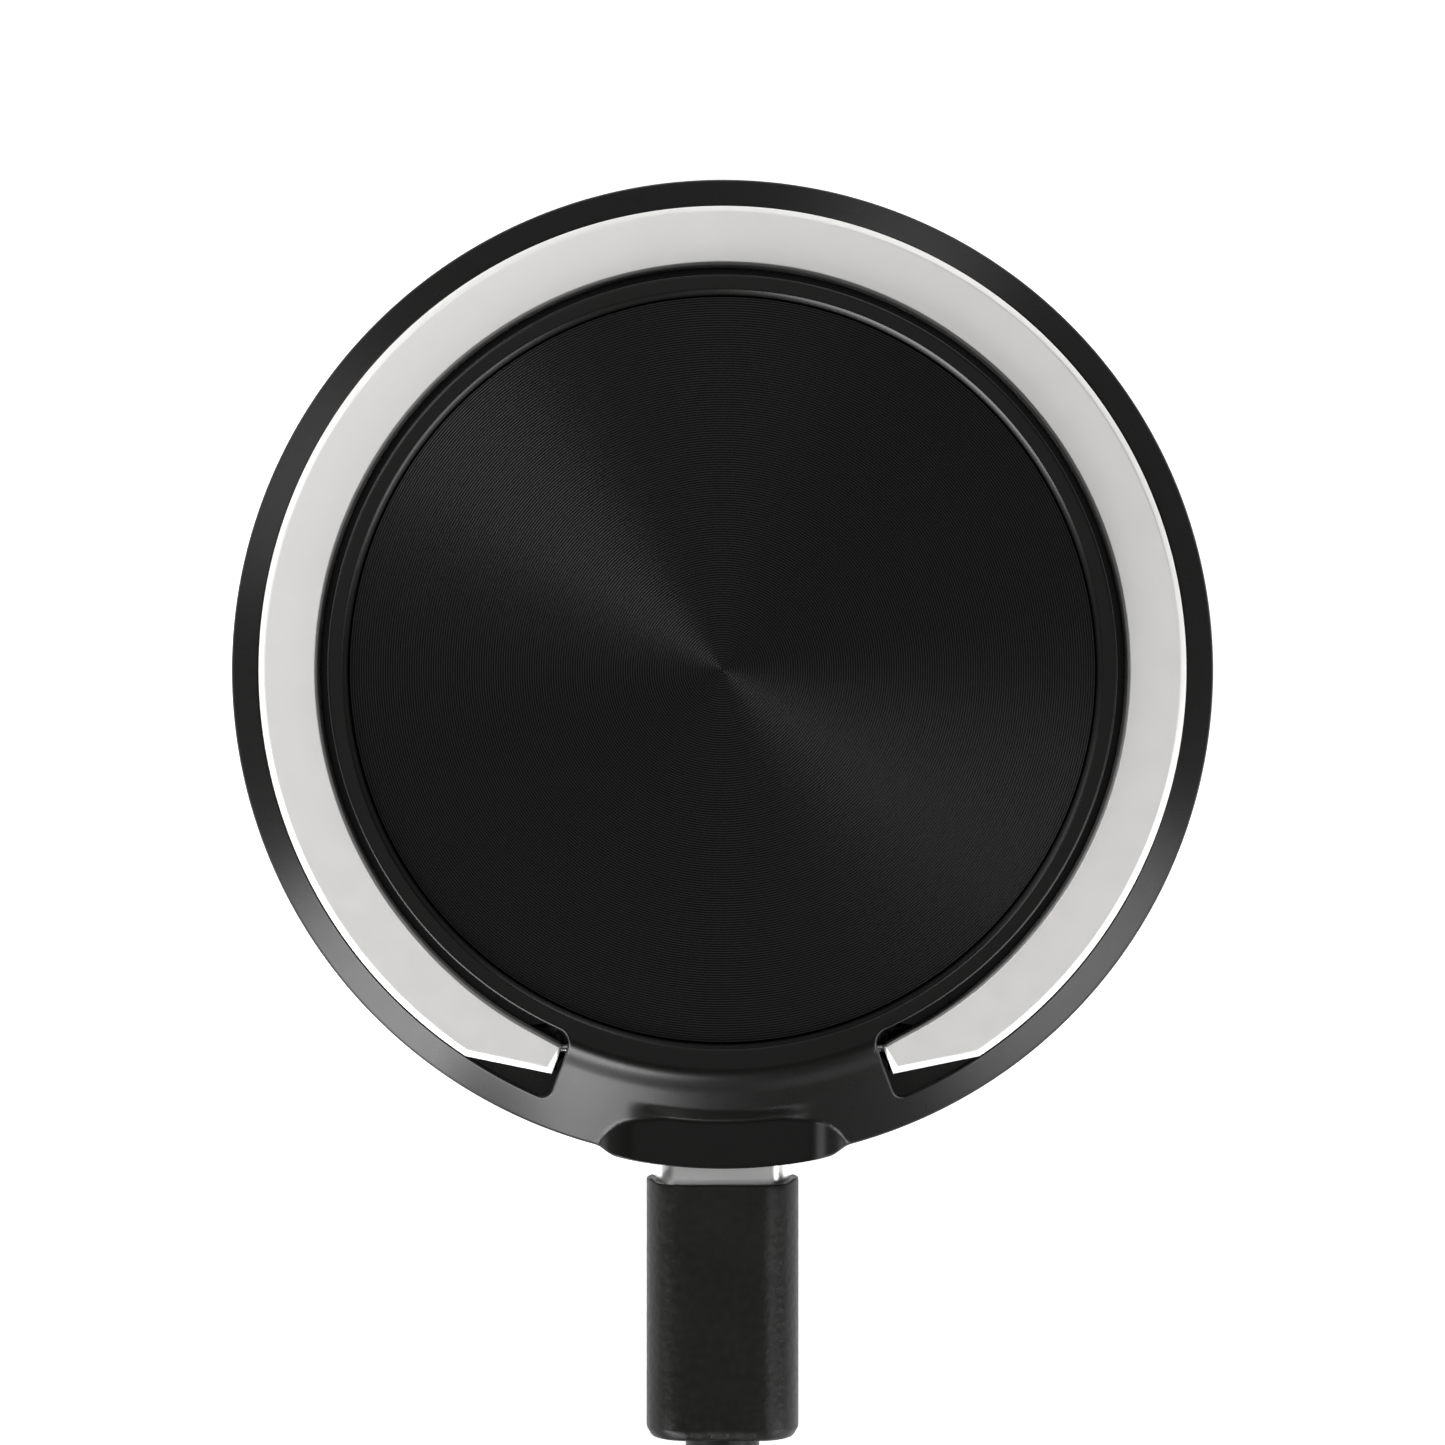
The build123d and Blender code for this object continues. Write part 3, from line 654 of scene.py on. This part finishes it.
def corner(radius, rounding, sign):
    """Where a rounding of the groove's end touches its wall line and one of its circles (right end).

    sign is +1 at the inner circle, where the rounding lies outside it, and -1 at the outer one.
    """
    along = np.array(RING_OUTER_END) - np.array(RING_INNER_END)
    along /= np.linalg.norm(along)
    out = np.array([-along[1], along[0]])
    start = np.array([RING_INNER_END[0] - END_GAP, RING_INNER_END[1]]) + out * rounding
    reach = radius + sign * rounding
    half = start @ along
    root = math.sqrt(half**2 - start @ start + reach**2)
    centre = start + along * (-half + root)
    return centre, centre * radius / reach, centre - out * rounding


def groove_outline():
    """The ring's groove in plan, counter-clockwise, with rounded corners at its two ends."""
    outer_centre, outer_touch, outer_wall = corner(SLOT_R[1], SLOT_OUTER_CORNER_R, -1)
    inner_centre, inner_touch, inner_wall = corner(SLOT_R[0], SLOT_INNER_CORNER_R, 1)
    right = []
    first = azimuth(inner_wall, inner_centre)
    last = azimuth(inner_touch, inner_centre)
    right += arc(inner_centre, SLOT_INNER_CORNER_R, last, last + turn_to(last, first), 12)
    right += [tuple(outer_wall + (np.array(inner_wall) - outer_wall) * k / 8) for k in range(7, 0, -1)]
    first = azimuth(outer_wall, outer_centre)
    last = azimuth(outer_touch, outer_centre)
    right += arc(outer_centre, SLOT_OUTER_CORNER_R, first, first + turn_to(first, last), 12)
    start = azimuth(outer_touch)
    outer = arc((0, 0), SLOT_R[1], start, 180 - start, 0.5)[1:-1]
    left = [(-x, y) for x, y in reversed(right)]
    start = azimuth(inner_touch)
    inner = arc((0, 0), SLOT_R[0], 180 - start, start, 0.5)[1:-1]
    return np.array(right + outer + left + inner)


def rounded_edge(radius, steps=5):
    """Offsets and drops of a quarter-round edge, with a support line on the flat before it."""
    turns = [math.radians(90 * k / steps) for k in range(steps + 1)]
    edge = [(radius * (1 - math.sin(t)), radius * (1 - math.cos(t))) for t in turns]
    return [(radius * 1.35, 0.0)] + edge


def make_shell(materials):
    """The rear shell: wall and cavity, recess, groove, and the seen surface that joins them."""
    shape = Shape()
    round_count = 720
    angles = np.radians(-90 + np.arange(round_count) * 360 / round_count)
    around = np.stack([np.cos(angles), np.sin(angles)], 1)

    # outer wall, from the rounded rim edge down to the bottom chamfer, then inwards and up the inside
    rings = []
    for offset, drop in rounded_edge(RIM_EDGE_R):
        radius = silhouette_radius(around) - offset
        flat = around * radius[:, None]
        z = shell_height(flat[:, 0], flat[:, 1]) - drop * 0.75
        rings.append(shape.ring(np.column_stack([flat, z])))
    radius = silhouette_radius(around)
    for inset, z in ((0, 4.4), (0, SHELL_BOTTOM + BOTTOM_CHAMFER), (0.12, SHELL_BOTTOM + 0.12),
                     (BOTTOM_CHAMFER, SHELL_BOTTOM)):
        blend = (radius - PUCK_R) * (1 if z > 1 else 0)
        flat = around * (PUCK_R + blend - inset)[:, None]
        rings.append(shape.ring(raised(flat, z)))
    for r, z in ((SEAT_R, SHELL_BOTTOM), (SEAT_R, LEDGE_Z), (CAVITY_R, LEDGE_Z), (CAVITY_R, CAVITY_Z),
                 (BOSS_CAVITY_R, CAVITY_Z), (BOSS_CAVITY_R, BOSS_CAVITY_Z)):
        rings.append(shape.ring(raised(around * r, z)))
    shape.loft(rings[::-1])
    shape.fan(rings[-1], (0, 0, BOSS_CAVITY_Z), flip=True)
    rim_line = rings[0]

    # recess for the turned disc
    mouth = RECESS_R + RECESS_BEVEL
    bevel_z = BOSS_Z - RECESS_BEVEL
    recess = []
    for r, z in ((mouth + 0.06, BOSS_Z), (mouth + 0.02, BOSS_Z - 0.003), (mouth - 0.05, BOSS_Z - 0.04),
                 (RECESS_R + 0.06, bevel_z + 0.04), (RECESS_R + 0.01, bevel_z - 0.03),
                 (RECESS_R, bevel_z - 0.12), (RECESS_R, RECESS_Z)):
        recess.append(shape.ring(raised(around * r, z)))
    shape.loft(recess[::-1])
    shape.fan(recess[-1], (0, 0, RECESS_Z))

    # groove
    outline = groove_outline()
    out = normals_of(outline)
    walls = []
    for offset, drop in rounded_edge(SLOT_EDGE_R):
        flat = outline + out * offset
        z = shell_height(flat[:, 0], flat[:, 1]) - drop
        z = np.maximum(z, SLOT_FLOOR_Z + 0.1)
        walls.append(shape.ring(np.column_stack([flat, z])))
    for inset, z in ((0.0, SLOT_FLOOR_Z + 0.06), (0.06, SLOT_FLOOR_Z)):
        walls.append(shape.ring(raised(outline - out * inset, z)))
    shape.loft(walls[::-1])
    floor_edge = np.array([shape.points[i][:2] for i in walls[-1]])
    shape.fill([walls[-1]], inside_polygon(floor_edge), None)

    # the seen surface between the rim line, the groove and the recess
    edge = np.array([shape.points[i][:2] for i in walls[0]])
    in_groove = inside_polygon(edge)
    in_rim = inside_polygon(np.array([shape.points[i][:2] for i in rim_line]))
    first_r = mouth + 0.06

    def on_top(x, y):
        return math.hypot(x, y) > first_r - 1e-4 and in_rim(x, y) and not in_groove(x, y)

    # a fine grid under the fairing's curved surface, clear of the groove's edge
    extra = []
    for a in np.arange(-90 - FINE_SPAN, -90 + FINE_SPAN + 0.01, 0.25):
        direction = (math.cos(math.radians(a)), math.sin(math.radians(a)))
        limit = float(silhouette_radius(np.array(direction))) - RIM_EDGE_R * 1.35 - 0.07
        for r in np.arange(first_r + 0.1, limit, 0.1):
            x, y = r * direction[0], r * direction[1]
            near = np.abs(edge - (x, y)).sum(1).min()
            if near > 0.1 and not in_groove(x, y):
                extra.append((x, y))
    outlines = [rim_line, walls[0], recess[0]]
    shape.fill(outlines, on_top, lambda x, y: float(shell_height(x, y)), extra)
    shell = make_object("shell", shape.points, shape.faces, None, materials=[materials["shell"]])
    cut_openings(shell)
    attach(shell, "puck")
    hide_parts("rear_shell")
    return shell


def stadium(width, height, count=48):
    """A slot outline with round ends, counter-clockwise in its own x and z."""
    half = (width - height) / 2
    points = arc((half, 0), height / 2, -90, 90, 180 / count)
    points += arc((-half, 0), height / 2, 90, 270, 180 / count)
    return np.array(points)


def prism(name, outline, to_point, ends):
    """A closed bar: an outline carried between two places."""
    shape = Shape()
    rings = [shape.ring([to_point(u, v, w) for u, v in outline]) for w in ends]
    shape.strip(rings[0], rings[1])
    shape.faces.append(tuple(reversed(rings[0])))
    shape.faces.append(tuple(rings[1]))
    return make_object(name, shape.points, shape.faces, None)


def cut_openings(shell):
    """Cuts the socket's mouth and the room in which the ring's two ends turn."""
    mouth = stadium(9.0, 3.26)
    cutters = [prism("mouth_cut", mouth, lambda u, v, w: (u, w, PORT_Z + v), (-22.7, -32.0))]
    unit = np.array(arc((0, 0), 1, 0, 357.5, 2.5))
    for side in (-1, 1):
        for sweep in SWEEPS:
            def on_axis(u, v, end):
                x, radius = end
                return (side * x, HINGE[0] + radius * u, HINGE[1] + radius * v)
            cutters.append(prism("sweep_cut", unit, on_axis, sweep))
    for cutter in cutters:
        fix_normals(cutter)
    fix_normals(shell)
    for cutter in cutters:
        modifier = shell.modifiers.new("cut", "BOOLEAN")
        modifier.operation = "DIFFERENCE"
        modifier.solver = "EXACT"
        modifier.object = cutter
    graph = bpy.context.evaluated_depsgraph_get()
    cut = bpy.data.meshes.new_from_object(shell.evaluated_get(graph))
    shell.modifiers.clear()
    shell.data = cut
    for cutter in cutters:
        bpy.data.objects.remove(cutter)
    cut.shade_smooth()
    cut.set_sharp_from_angle(angle=math.radians(32))


def fix_normals(obj):
    """Turns every face of a closed piece outwards."""
    work = bmesh.new()
    work.from_mesh(obj.data)
    bmesh.ops.recalc_face_normals(work, faces=work.faces)
    work.to_mesh(obj.data)
    work.free()


# ==================================================================================== turned disc
def make_disc(materials):
    """A lathe of fine concentric grooves: crest, flank, valley and flank in each pitch."""
    round_count = 120
    angles = np.radians(np.arange(round_count) * 360 / round_count)
    around = np.stack([np.cos(angles), np.sin(angles)], 1)
    shape = Shape()
    bottom = DISC_TOP - DISC_T
    profile = [(DISC_R, bottom), (DISC_R, DISC_TOP - 0.06), (DISC_R - 0.02, DISC_TOP - 0.02),
               (GROOVED_R, DISC_TOP)]
    quarters = (GROOVE_DEPTH / 2, GROOVE_DEPTH, GROOVE_DEPTH / 2, 0)
    for k in range(1, 4 * GROOVES - 1):
        profile.append((GROOVED_R - k * GROOVE_PITCH / 4, DISC_TOP - quarters[(k - 1) % 4]))
    rings = [shape.ring(raised(around * r, z)) for r, z in profile]
    shape.loft(rings)
    shape.fan(rings[-1], (0, 0, DISC_TOP - GROOVE_DEPTH / 2))
    shape.fan(rings[0], (0, 0, bottom), flip=True)
    disc = make_object("turned_disc", shape.points, shape.faces, "puck", 60.0,
                       [materials["disc"]])
    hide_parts("grooved_disc")
    return disc


# ==================================================================================== ring stand
def ring_outline():
    """The C of the stand in plan, counter-clockwise."""
    kink = (RING_OUTER_KINK_X, -math.sqrt(RING_R[1] ** 2 - RING_OUTER_KINK_X**2))
    start = azimuth(kink)
    outer = arc((0, 0), RING_R[1], start, 180 - start, 0.5)
    left = [(-RING_OUTER_END[0], RING_OUTER_END[1]), (-RING_INNER_END[0], RING_INNER_END[1])]
    inner = []
    for a in np.arange(180 + 61.5, -61.6, -0.5):
        away = (a - 90 + 180) % 360 - 180
        ease = float(smooth((abs(away) - 128) / 24))
        radius = RING_R[0] + RING_INNER_SHIFT * ease
        inner.append((radius * math.cos(math.radians(a)), radius * math.sin(math.radians(a))))
    right = [RING_INNER_END, RING_OUTER_END]
    return np.array(outer + left + inner + right)


def make_ring(materials):
    """The stand: a flat bar with a wide bevel outside and at its ends, and a narrow one inside."""
    outline = ring_outline()
    out = normals_of(outline)
    low, high = RING_Z
    b = RING_BEVEL
    profile = [
        (0.34, low), (0.26, low), (0.19, low + 0.02), (0.04, low + 0.13), (0.0, low + 0.2),
        (0.0, low + 0.3), (0.0, high - b - 0.14), (0.0, high - b - 0.05), (0.015, high - b),
        (0.05, high - b + 0.04), (0.10, high - b + 0.09), (b - 0.07, high - 0.08),
        (b - 0.02, high - 0.035), (b + 0.02, high - 0.01), (b + 0.07, high), (b + 0.13, high),
    ]
    shape = Shape()
    on_inside = np.hypot(outline[:, 0], outline[:, 1]) < RING_R[0] + 0.3
    finer = np.where(on_inside, INNER_BEVEL / b, 1)
    rings = []
    for inset, z in profile:
        scale = np.where(z > (low + high) / 2, finer, 1)
        level = high - (high - z) * scale
        flat = outline - out * (inset * scale)[:, None]
        rings.append(shape.ring(np.column_stack([flat, level])))
    shape.loft(rings)
    for ring, flip in ((rings[-1], False), (rings[0], True)):
        edge = np.array([shape.points[i][:2] for i in ring])
        shape.fill([ring], inside_polygon(edge), None, flip=flip)
    ring = make_object("ring_stand", shape.points, shape.faces, "kickstand", 40.0,
                       [materials["ring"]])
    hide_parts("kickstand_ring")
    return ring


# ==================================================================================== plugs
def rounded_box(width, height, radius, count=16):
    """A rounded rectangle, counter-clockwise, with as many points on each corner."""
    points = []
    for cx, cy, start in ((1, 1, 0), (-1, 1, 90), (-1, -1, 180), (1, -1, 270)):
        centre = (cx * (width / 2 - radius), cy * (height / 2 - radius))
        points += arc(centre, radius, start, start + 90, 90 / count)
    return resample(np.array(points), 0.5)


def plug_placer(face):
    """Turns a plug's own x, height and distance behind its face into the model's frame."""
    def place(u, v, back):
        return (face[0] + u, face[1] - back, face[2] + v)
    return place


def make_body(name, place, materials):
    """The overmould: a soft rounded bar, its front edge dished with small ears, its far corners cut."""
    width, height, length = BODY
    outline = rounded_box(width, height, OVERMOLD_CORNER_R)
    stations = [
        (0.10, 1.55), (0.02, 0.75), (0.0, 0.16), (0.02, 0.07), (0.07, 0.015), (0.14, 0.0),
        (0.30, 0.0), (0.70, 0.0), (1.8, 0.0), (3.0, 0.0), (6.0, 0.0),
        (10.0, 0.0), (length - 2.2, 0.0), (length - 0.75, 0.0), (length - 0.62, 0.02),
        (length - 0.22, 0.24), (length - 0.08, 0.38), (length - 0.01, 0.6), (length, 1.0),
        (length, 1.8),
    ]
    out = normals_of(outline)
    shape = Shape()
    rings = []
    for back, inset in stations:
        flat = outline - out * inset
        dish = FRONT_DISH * (1 - np.clip(np.abs(flat[:, 0]) / (width / 2 - 0.35), 0, 1) ** 16)
        dish = dish * (1 - smooth(back - 0.7))
        rings.append(shape.ring([place(u, v, back + d) for (u, v), d in zip(flat, dish)]))
    shape.loft(rings)
    shape.fan(rings[0], place(0, 0, 0.4), flip=True)
    shape.fan(rings[-1], place(0, 0, length))
    body = make_object(name, shape.points, shape.faces, "cable", 34.0,
                       [materials["overmold"]])
    fix_normals(body)
    return body


def make_nose(name, place, materials):
    """The drawn metal shell: a seamless flat tube with a rolled lip."""
    width, height, length = NOSE
    shape = Shape()
    rings = []
    for back, inset in ((0.5, 0.0), (-0.4, 0.0), (-3.0, 0.0), (-length + 0.35, 0.0),
                        (-length + 0.12, 0.03), (-length + 0.02, 0.10), (-length, 0.16),
                        (-length + 0.06, NOSE_WALL - 0.02), (-length + 0.3, NOSE_WALL),
                        (0.5, NOSE_WALL)):
        flat = stadium(width - 2 * inset, height - 2 * inset, 24)
        rings.append(shape.ring([place(u, v, back) for u, v in flat]))
    shape.loft(rings + [rings[0]])
    nose = make_object(name, shape.points, shape.faces, "cable", 40.0,
                       [materials["nickel"]])
    fix_normals(nose)
    return nose


def make_relief(name, place, materials):
    """The tapered sleeve behind the overmould, with three grooves and a rounded end."""
    length = BODY[2]
    shape = Shape()
    rings = []
    profile = [(length - 0.3, 1.2), (length - 0.3, RELIEF_R[0])]
    for k in range(3):
        start = length + 2.4 + 1.9 * k
        full = RELIEF_R[0] + (RELIEF_R[1] - RELIEF_R[0]) * (start - length) / RELIEF_L
        profile += [(start, full), (start + 0.12, full - 0.06), (start + 0.2, full - 0.36),
                    (start + 0.7, full - 0.36), (start + 0.78, full - 0.07), (start + 0.9, full - 0.01)]
    end = length + RELIEF_L
    profile += [(end - 0.35, RELIEF_R[1]), (end - 0.1, RELIEF_R[1] - 0.06), (end, RELIEF_R[1] - 0.2),
                (end, 1.5)]
    for back, radius in profile:
        flat = circle(radius, 64)
        rings.append(shape.ring([place(u, v, back) for u, v in flat]))
    shape.loft(rings)
    shape.fan(rings[0], place(0, 0, length - 0.3), flip=True)
    shape.fan(rings[-1], place(0, 0, end))
    relief = make_object(name, shape.points, shape.faces, "cable", 40.0,
                         [materials["overmold"]])
    fix_normals(relief)
    return relief


def make_plug(prefix, face, materials):
    """One plug in three pieces, and all five parts of it for the cord."""
    place = plug_placer(face)
    pieces = []
    for piece, maker, node in (("body", make_body, "overmold"), ("nose", make_nose, "shell"),
                               ("relief", make_relief, "strain_relief")):
        made = maker(f"{prefix}plug_{piece}", place, materials)
        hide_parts(f"{prefix}plug_{node}")
        pieces.append(made)
    return pieces + [nodes[f"{prefix}plug_insulator"], nodes[f"{prefix}plug_contacts"]]


def make_tie(materials):
    """The woven strap, wrapped once round the coil's section."""
    half_w = (COIL_RADII[0] - COIL_RADII[-1] + CABLE_D) / 2
    height = 3 * CABLE_D + TIE_T
    middle = (COIL_RADII[0] + COIL_RADII[-1]) / 2
    angle = math.radians(TIE_ANGLE)
    radial = np.array([math.cos(angle), math.sin(angle)])
    along = np.array([-radial[1], radial[0]])
    shape = Shape()
    rings = []
    edge = TIE_W / 2
    for side, inset in ((-edge, 0.12), (-edge + 0.12, 0.0), (-1.5, -0.02), (1.5, -0.02),
                        (edge - 0.12, 0.0), (edge, 0.12), (edge, TIE_T - 0.12), (edge - 0.12, TIE_T),
                        (-edge + 0.12, TIE_T), (-edge, TIE_T - 0.12)):
        outline = rounded_box(2 * (half_w + TIE_T - inset), height + TIE_T - 2 * inset + 0.02,
                              2.0 - inset)
        points = []
        for u, v in outline:
            flat = np.array(COIL_CENTRE) + radial * (middle + u) + along * side
            points.append((flat[0], flat[1], max(v + (height + TIE_T) / 2, 0.0)))
        rings.append(points)
    count = min(len(points) for points in rings)
    numbered = [shape.ring(spread_evenly(points, count)) for points in rings]
    shape.loft(numbered + [numbered[0]])
    tie = make_object("tie", shape.points, shape.faces, "cable", 50.0, [materials["tie"]])
    fix_normals(tie)
    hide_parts("cable_tie")
    return tie


def spread_evenly(points, count):
    """The same closed loop in 3-D with a given number of points, evenly spaced from its first one."""
    loop = np.array(points + [points[0]])
    lengths = np.concatenate([[0], np.cumsum(np.linalg.norm(np.diff(loop, axis=0), axis=1))])
    at = np.arange(count) * lengths[-1] / count
    return [tuple(np.interp(s, lengths, loop[:, k]) for k in range(3)) for s in at]


# ==================================================================================== stage and light
LIGHT_TARGET = (0, 0, 7)
LIGHT_DISTANCE = 0.60


def make_floor():
    """A wide pale floor that glows a little, so that it stays even under the softboxes."""
    material, tree, shader = new_material("floor_white", (0.86, 0.86, 0.86), 0.0, 0.9)
    shader.inputs["Emission Color"].default_value = (1, 1, 1, 1)
    shader.inputs["Emission Strength"].default_value = 0.72
    shade = ramp(tree, noise(tree, 400.0, 1.0), (0.85, 0.85, 0.85), (0.87, 0.87, 0.87))
    tree.links.new(shade, shader.inputs["Base Color"])
    half = 4000.0
    level = -0.02
    corners = [(-half, -half, level), (half, -half, level), (half, half, level), (-half, half, level)]
    floor = make_object("floor", corners, [(0, 1, 2, 3)], None, materials=[material])


def add_light(name, azimuth_deg, elevation, size, radiance):
    """An oval softbox in a direction from the puck, its power worked out from how bright it looks."""
    data = bpy.data.lights.new(name, "AREA")
    data.shape = "ELLIPSE"
    data.size, data.size_y = size
    data.energy = radiance * math.pi * math.pi / 4 * size[0] * size[1]
    light = bpy.data.objects.new(name, data)
    a, e = math.radians(azimuth_deg), math.radians(elevation)
    away = Vector((math.cos(a) * math.cos(e), math.sin(a) * math.cos(e), math.sin(e)))
    light.location = Vector(LIGHT_TARGET) * MM + away * LIGHT_DISTANCE
    light.rotation_euler = away.to_track_quat("Z", "Y").to_euler()
    light.visible_camera = False
    bpy.context.scene.collection.objects.link(light)


def make_world():
    """A studio that is bright at the horizon and dark overhead."""
    world = bpy.data.worlds.new("studio")
    world.use_nodes = True
    tree = world.node_tree
    tree.nodes.clear()
    output = tree.nodes.new("ShaderNodeOutputWorld")
    background = tree.nodes.new("ShaderNodeBackground")
    place = tree.nodes.new("ShaderNodeTexCoord")
    split = tree.nodes.new("ShaderNodeSeparateXYZ")
    shade = tree.nodes.new("ShaderNodeValToRGB")
    elements = shade.color_ramp.elements
    levels = ((0.0, 0.85), (0.06, 0.80), (0.16, 0.22), (0.40, 0.12), (0.70, 0.06), (1.0, 0.04))
    while len(elements) < len(levels):
        elements.new(1.0)
    for element, (position, level) in zip(elements, levels):
        element.position = position
        element.color = (level, level, level, 1)
    tree.links.new(place.outputs["Generated"], split.inputs["Vector"])
    tree.links.new(split.outputs["Z"], shade.inputs["Fac"])
    tree.links.new(shade.outputs["Color"], background.inputs["Color"])
    tree.links.new(background.outputs["Background"], output.inputs["Surface"])
    bpy.context.scene.world = world


def make_lights():
    """The softboxes whose reflections make the rim's bands, the disc's streaks and the ring's white."""
    add_light("overhead", 108, 83, (0.42, 0.42), 0.50)
    add_light("high_left", 137, 52, (0.18, 0.28), 7.5)
    add_light("high_right", 338, 50, (0.26, 0.22), 4.6)
    add_light("high_top", 88, 44, (0.30, 0.20), 2.0)
    add_light("lower_left", 234, 20, (0.62, 0.26), 15.0)
    add_light("lower_right", 320, 20, (0.44, 0.20), 9.0)
    add_light("upper_left", 154, 20, (0.34, 0.18), 3.0)
    add_light("upper_right", 66, 20, (0.24, 0.14), 4.2)


# ==================================================================================== build
make_camera()
MATERIALS = make_materials()
dress_nodes(MATERIALS)
make_floor()
make_world()
make_lights()
make_shell(MATERIALS)
make_disc(MATERIALS)
make_ring(MATERIALS)
plug = make_plug("", (0, PLUG_FACE_Y, PORT_Z), MATERIALS)
end_x, end_y, end_z = END_POINTS[-1]
far_face = (COIL_CENTRE[0] + end_x, COIL_CENTRE[1] + end_y + BODY[2] + RELIEF_L, end_z)
far_plug = make_plug("far_", far_face, MATERIALS)
lead = make_cord(MATERIALS)
tie = make_tie(MATERIALS)

bpy.context.scene.view_settings.view_transform = "Standard"
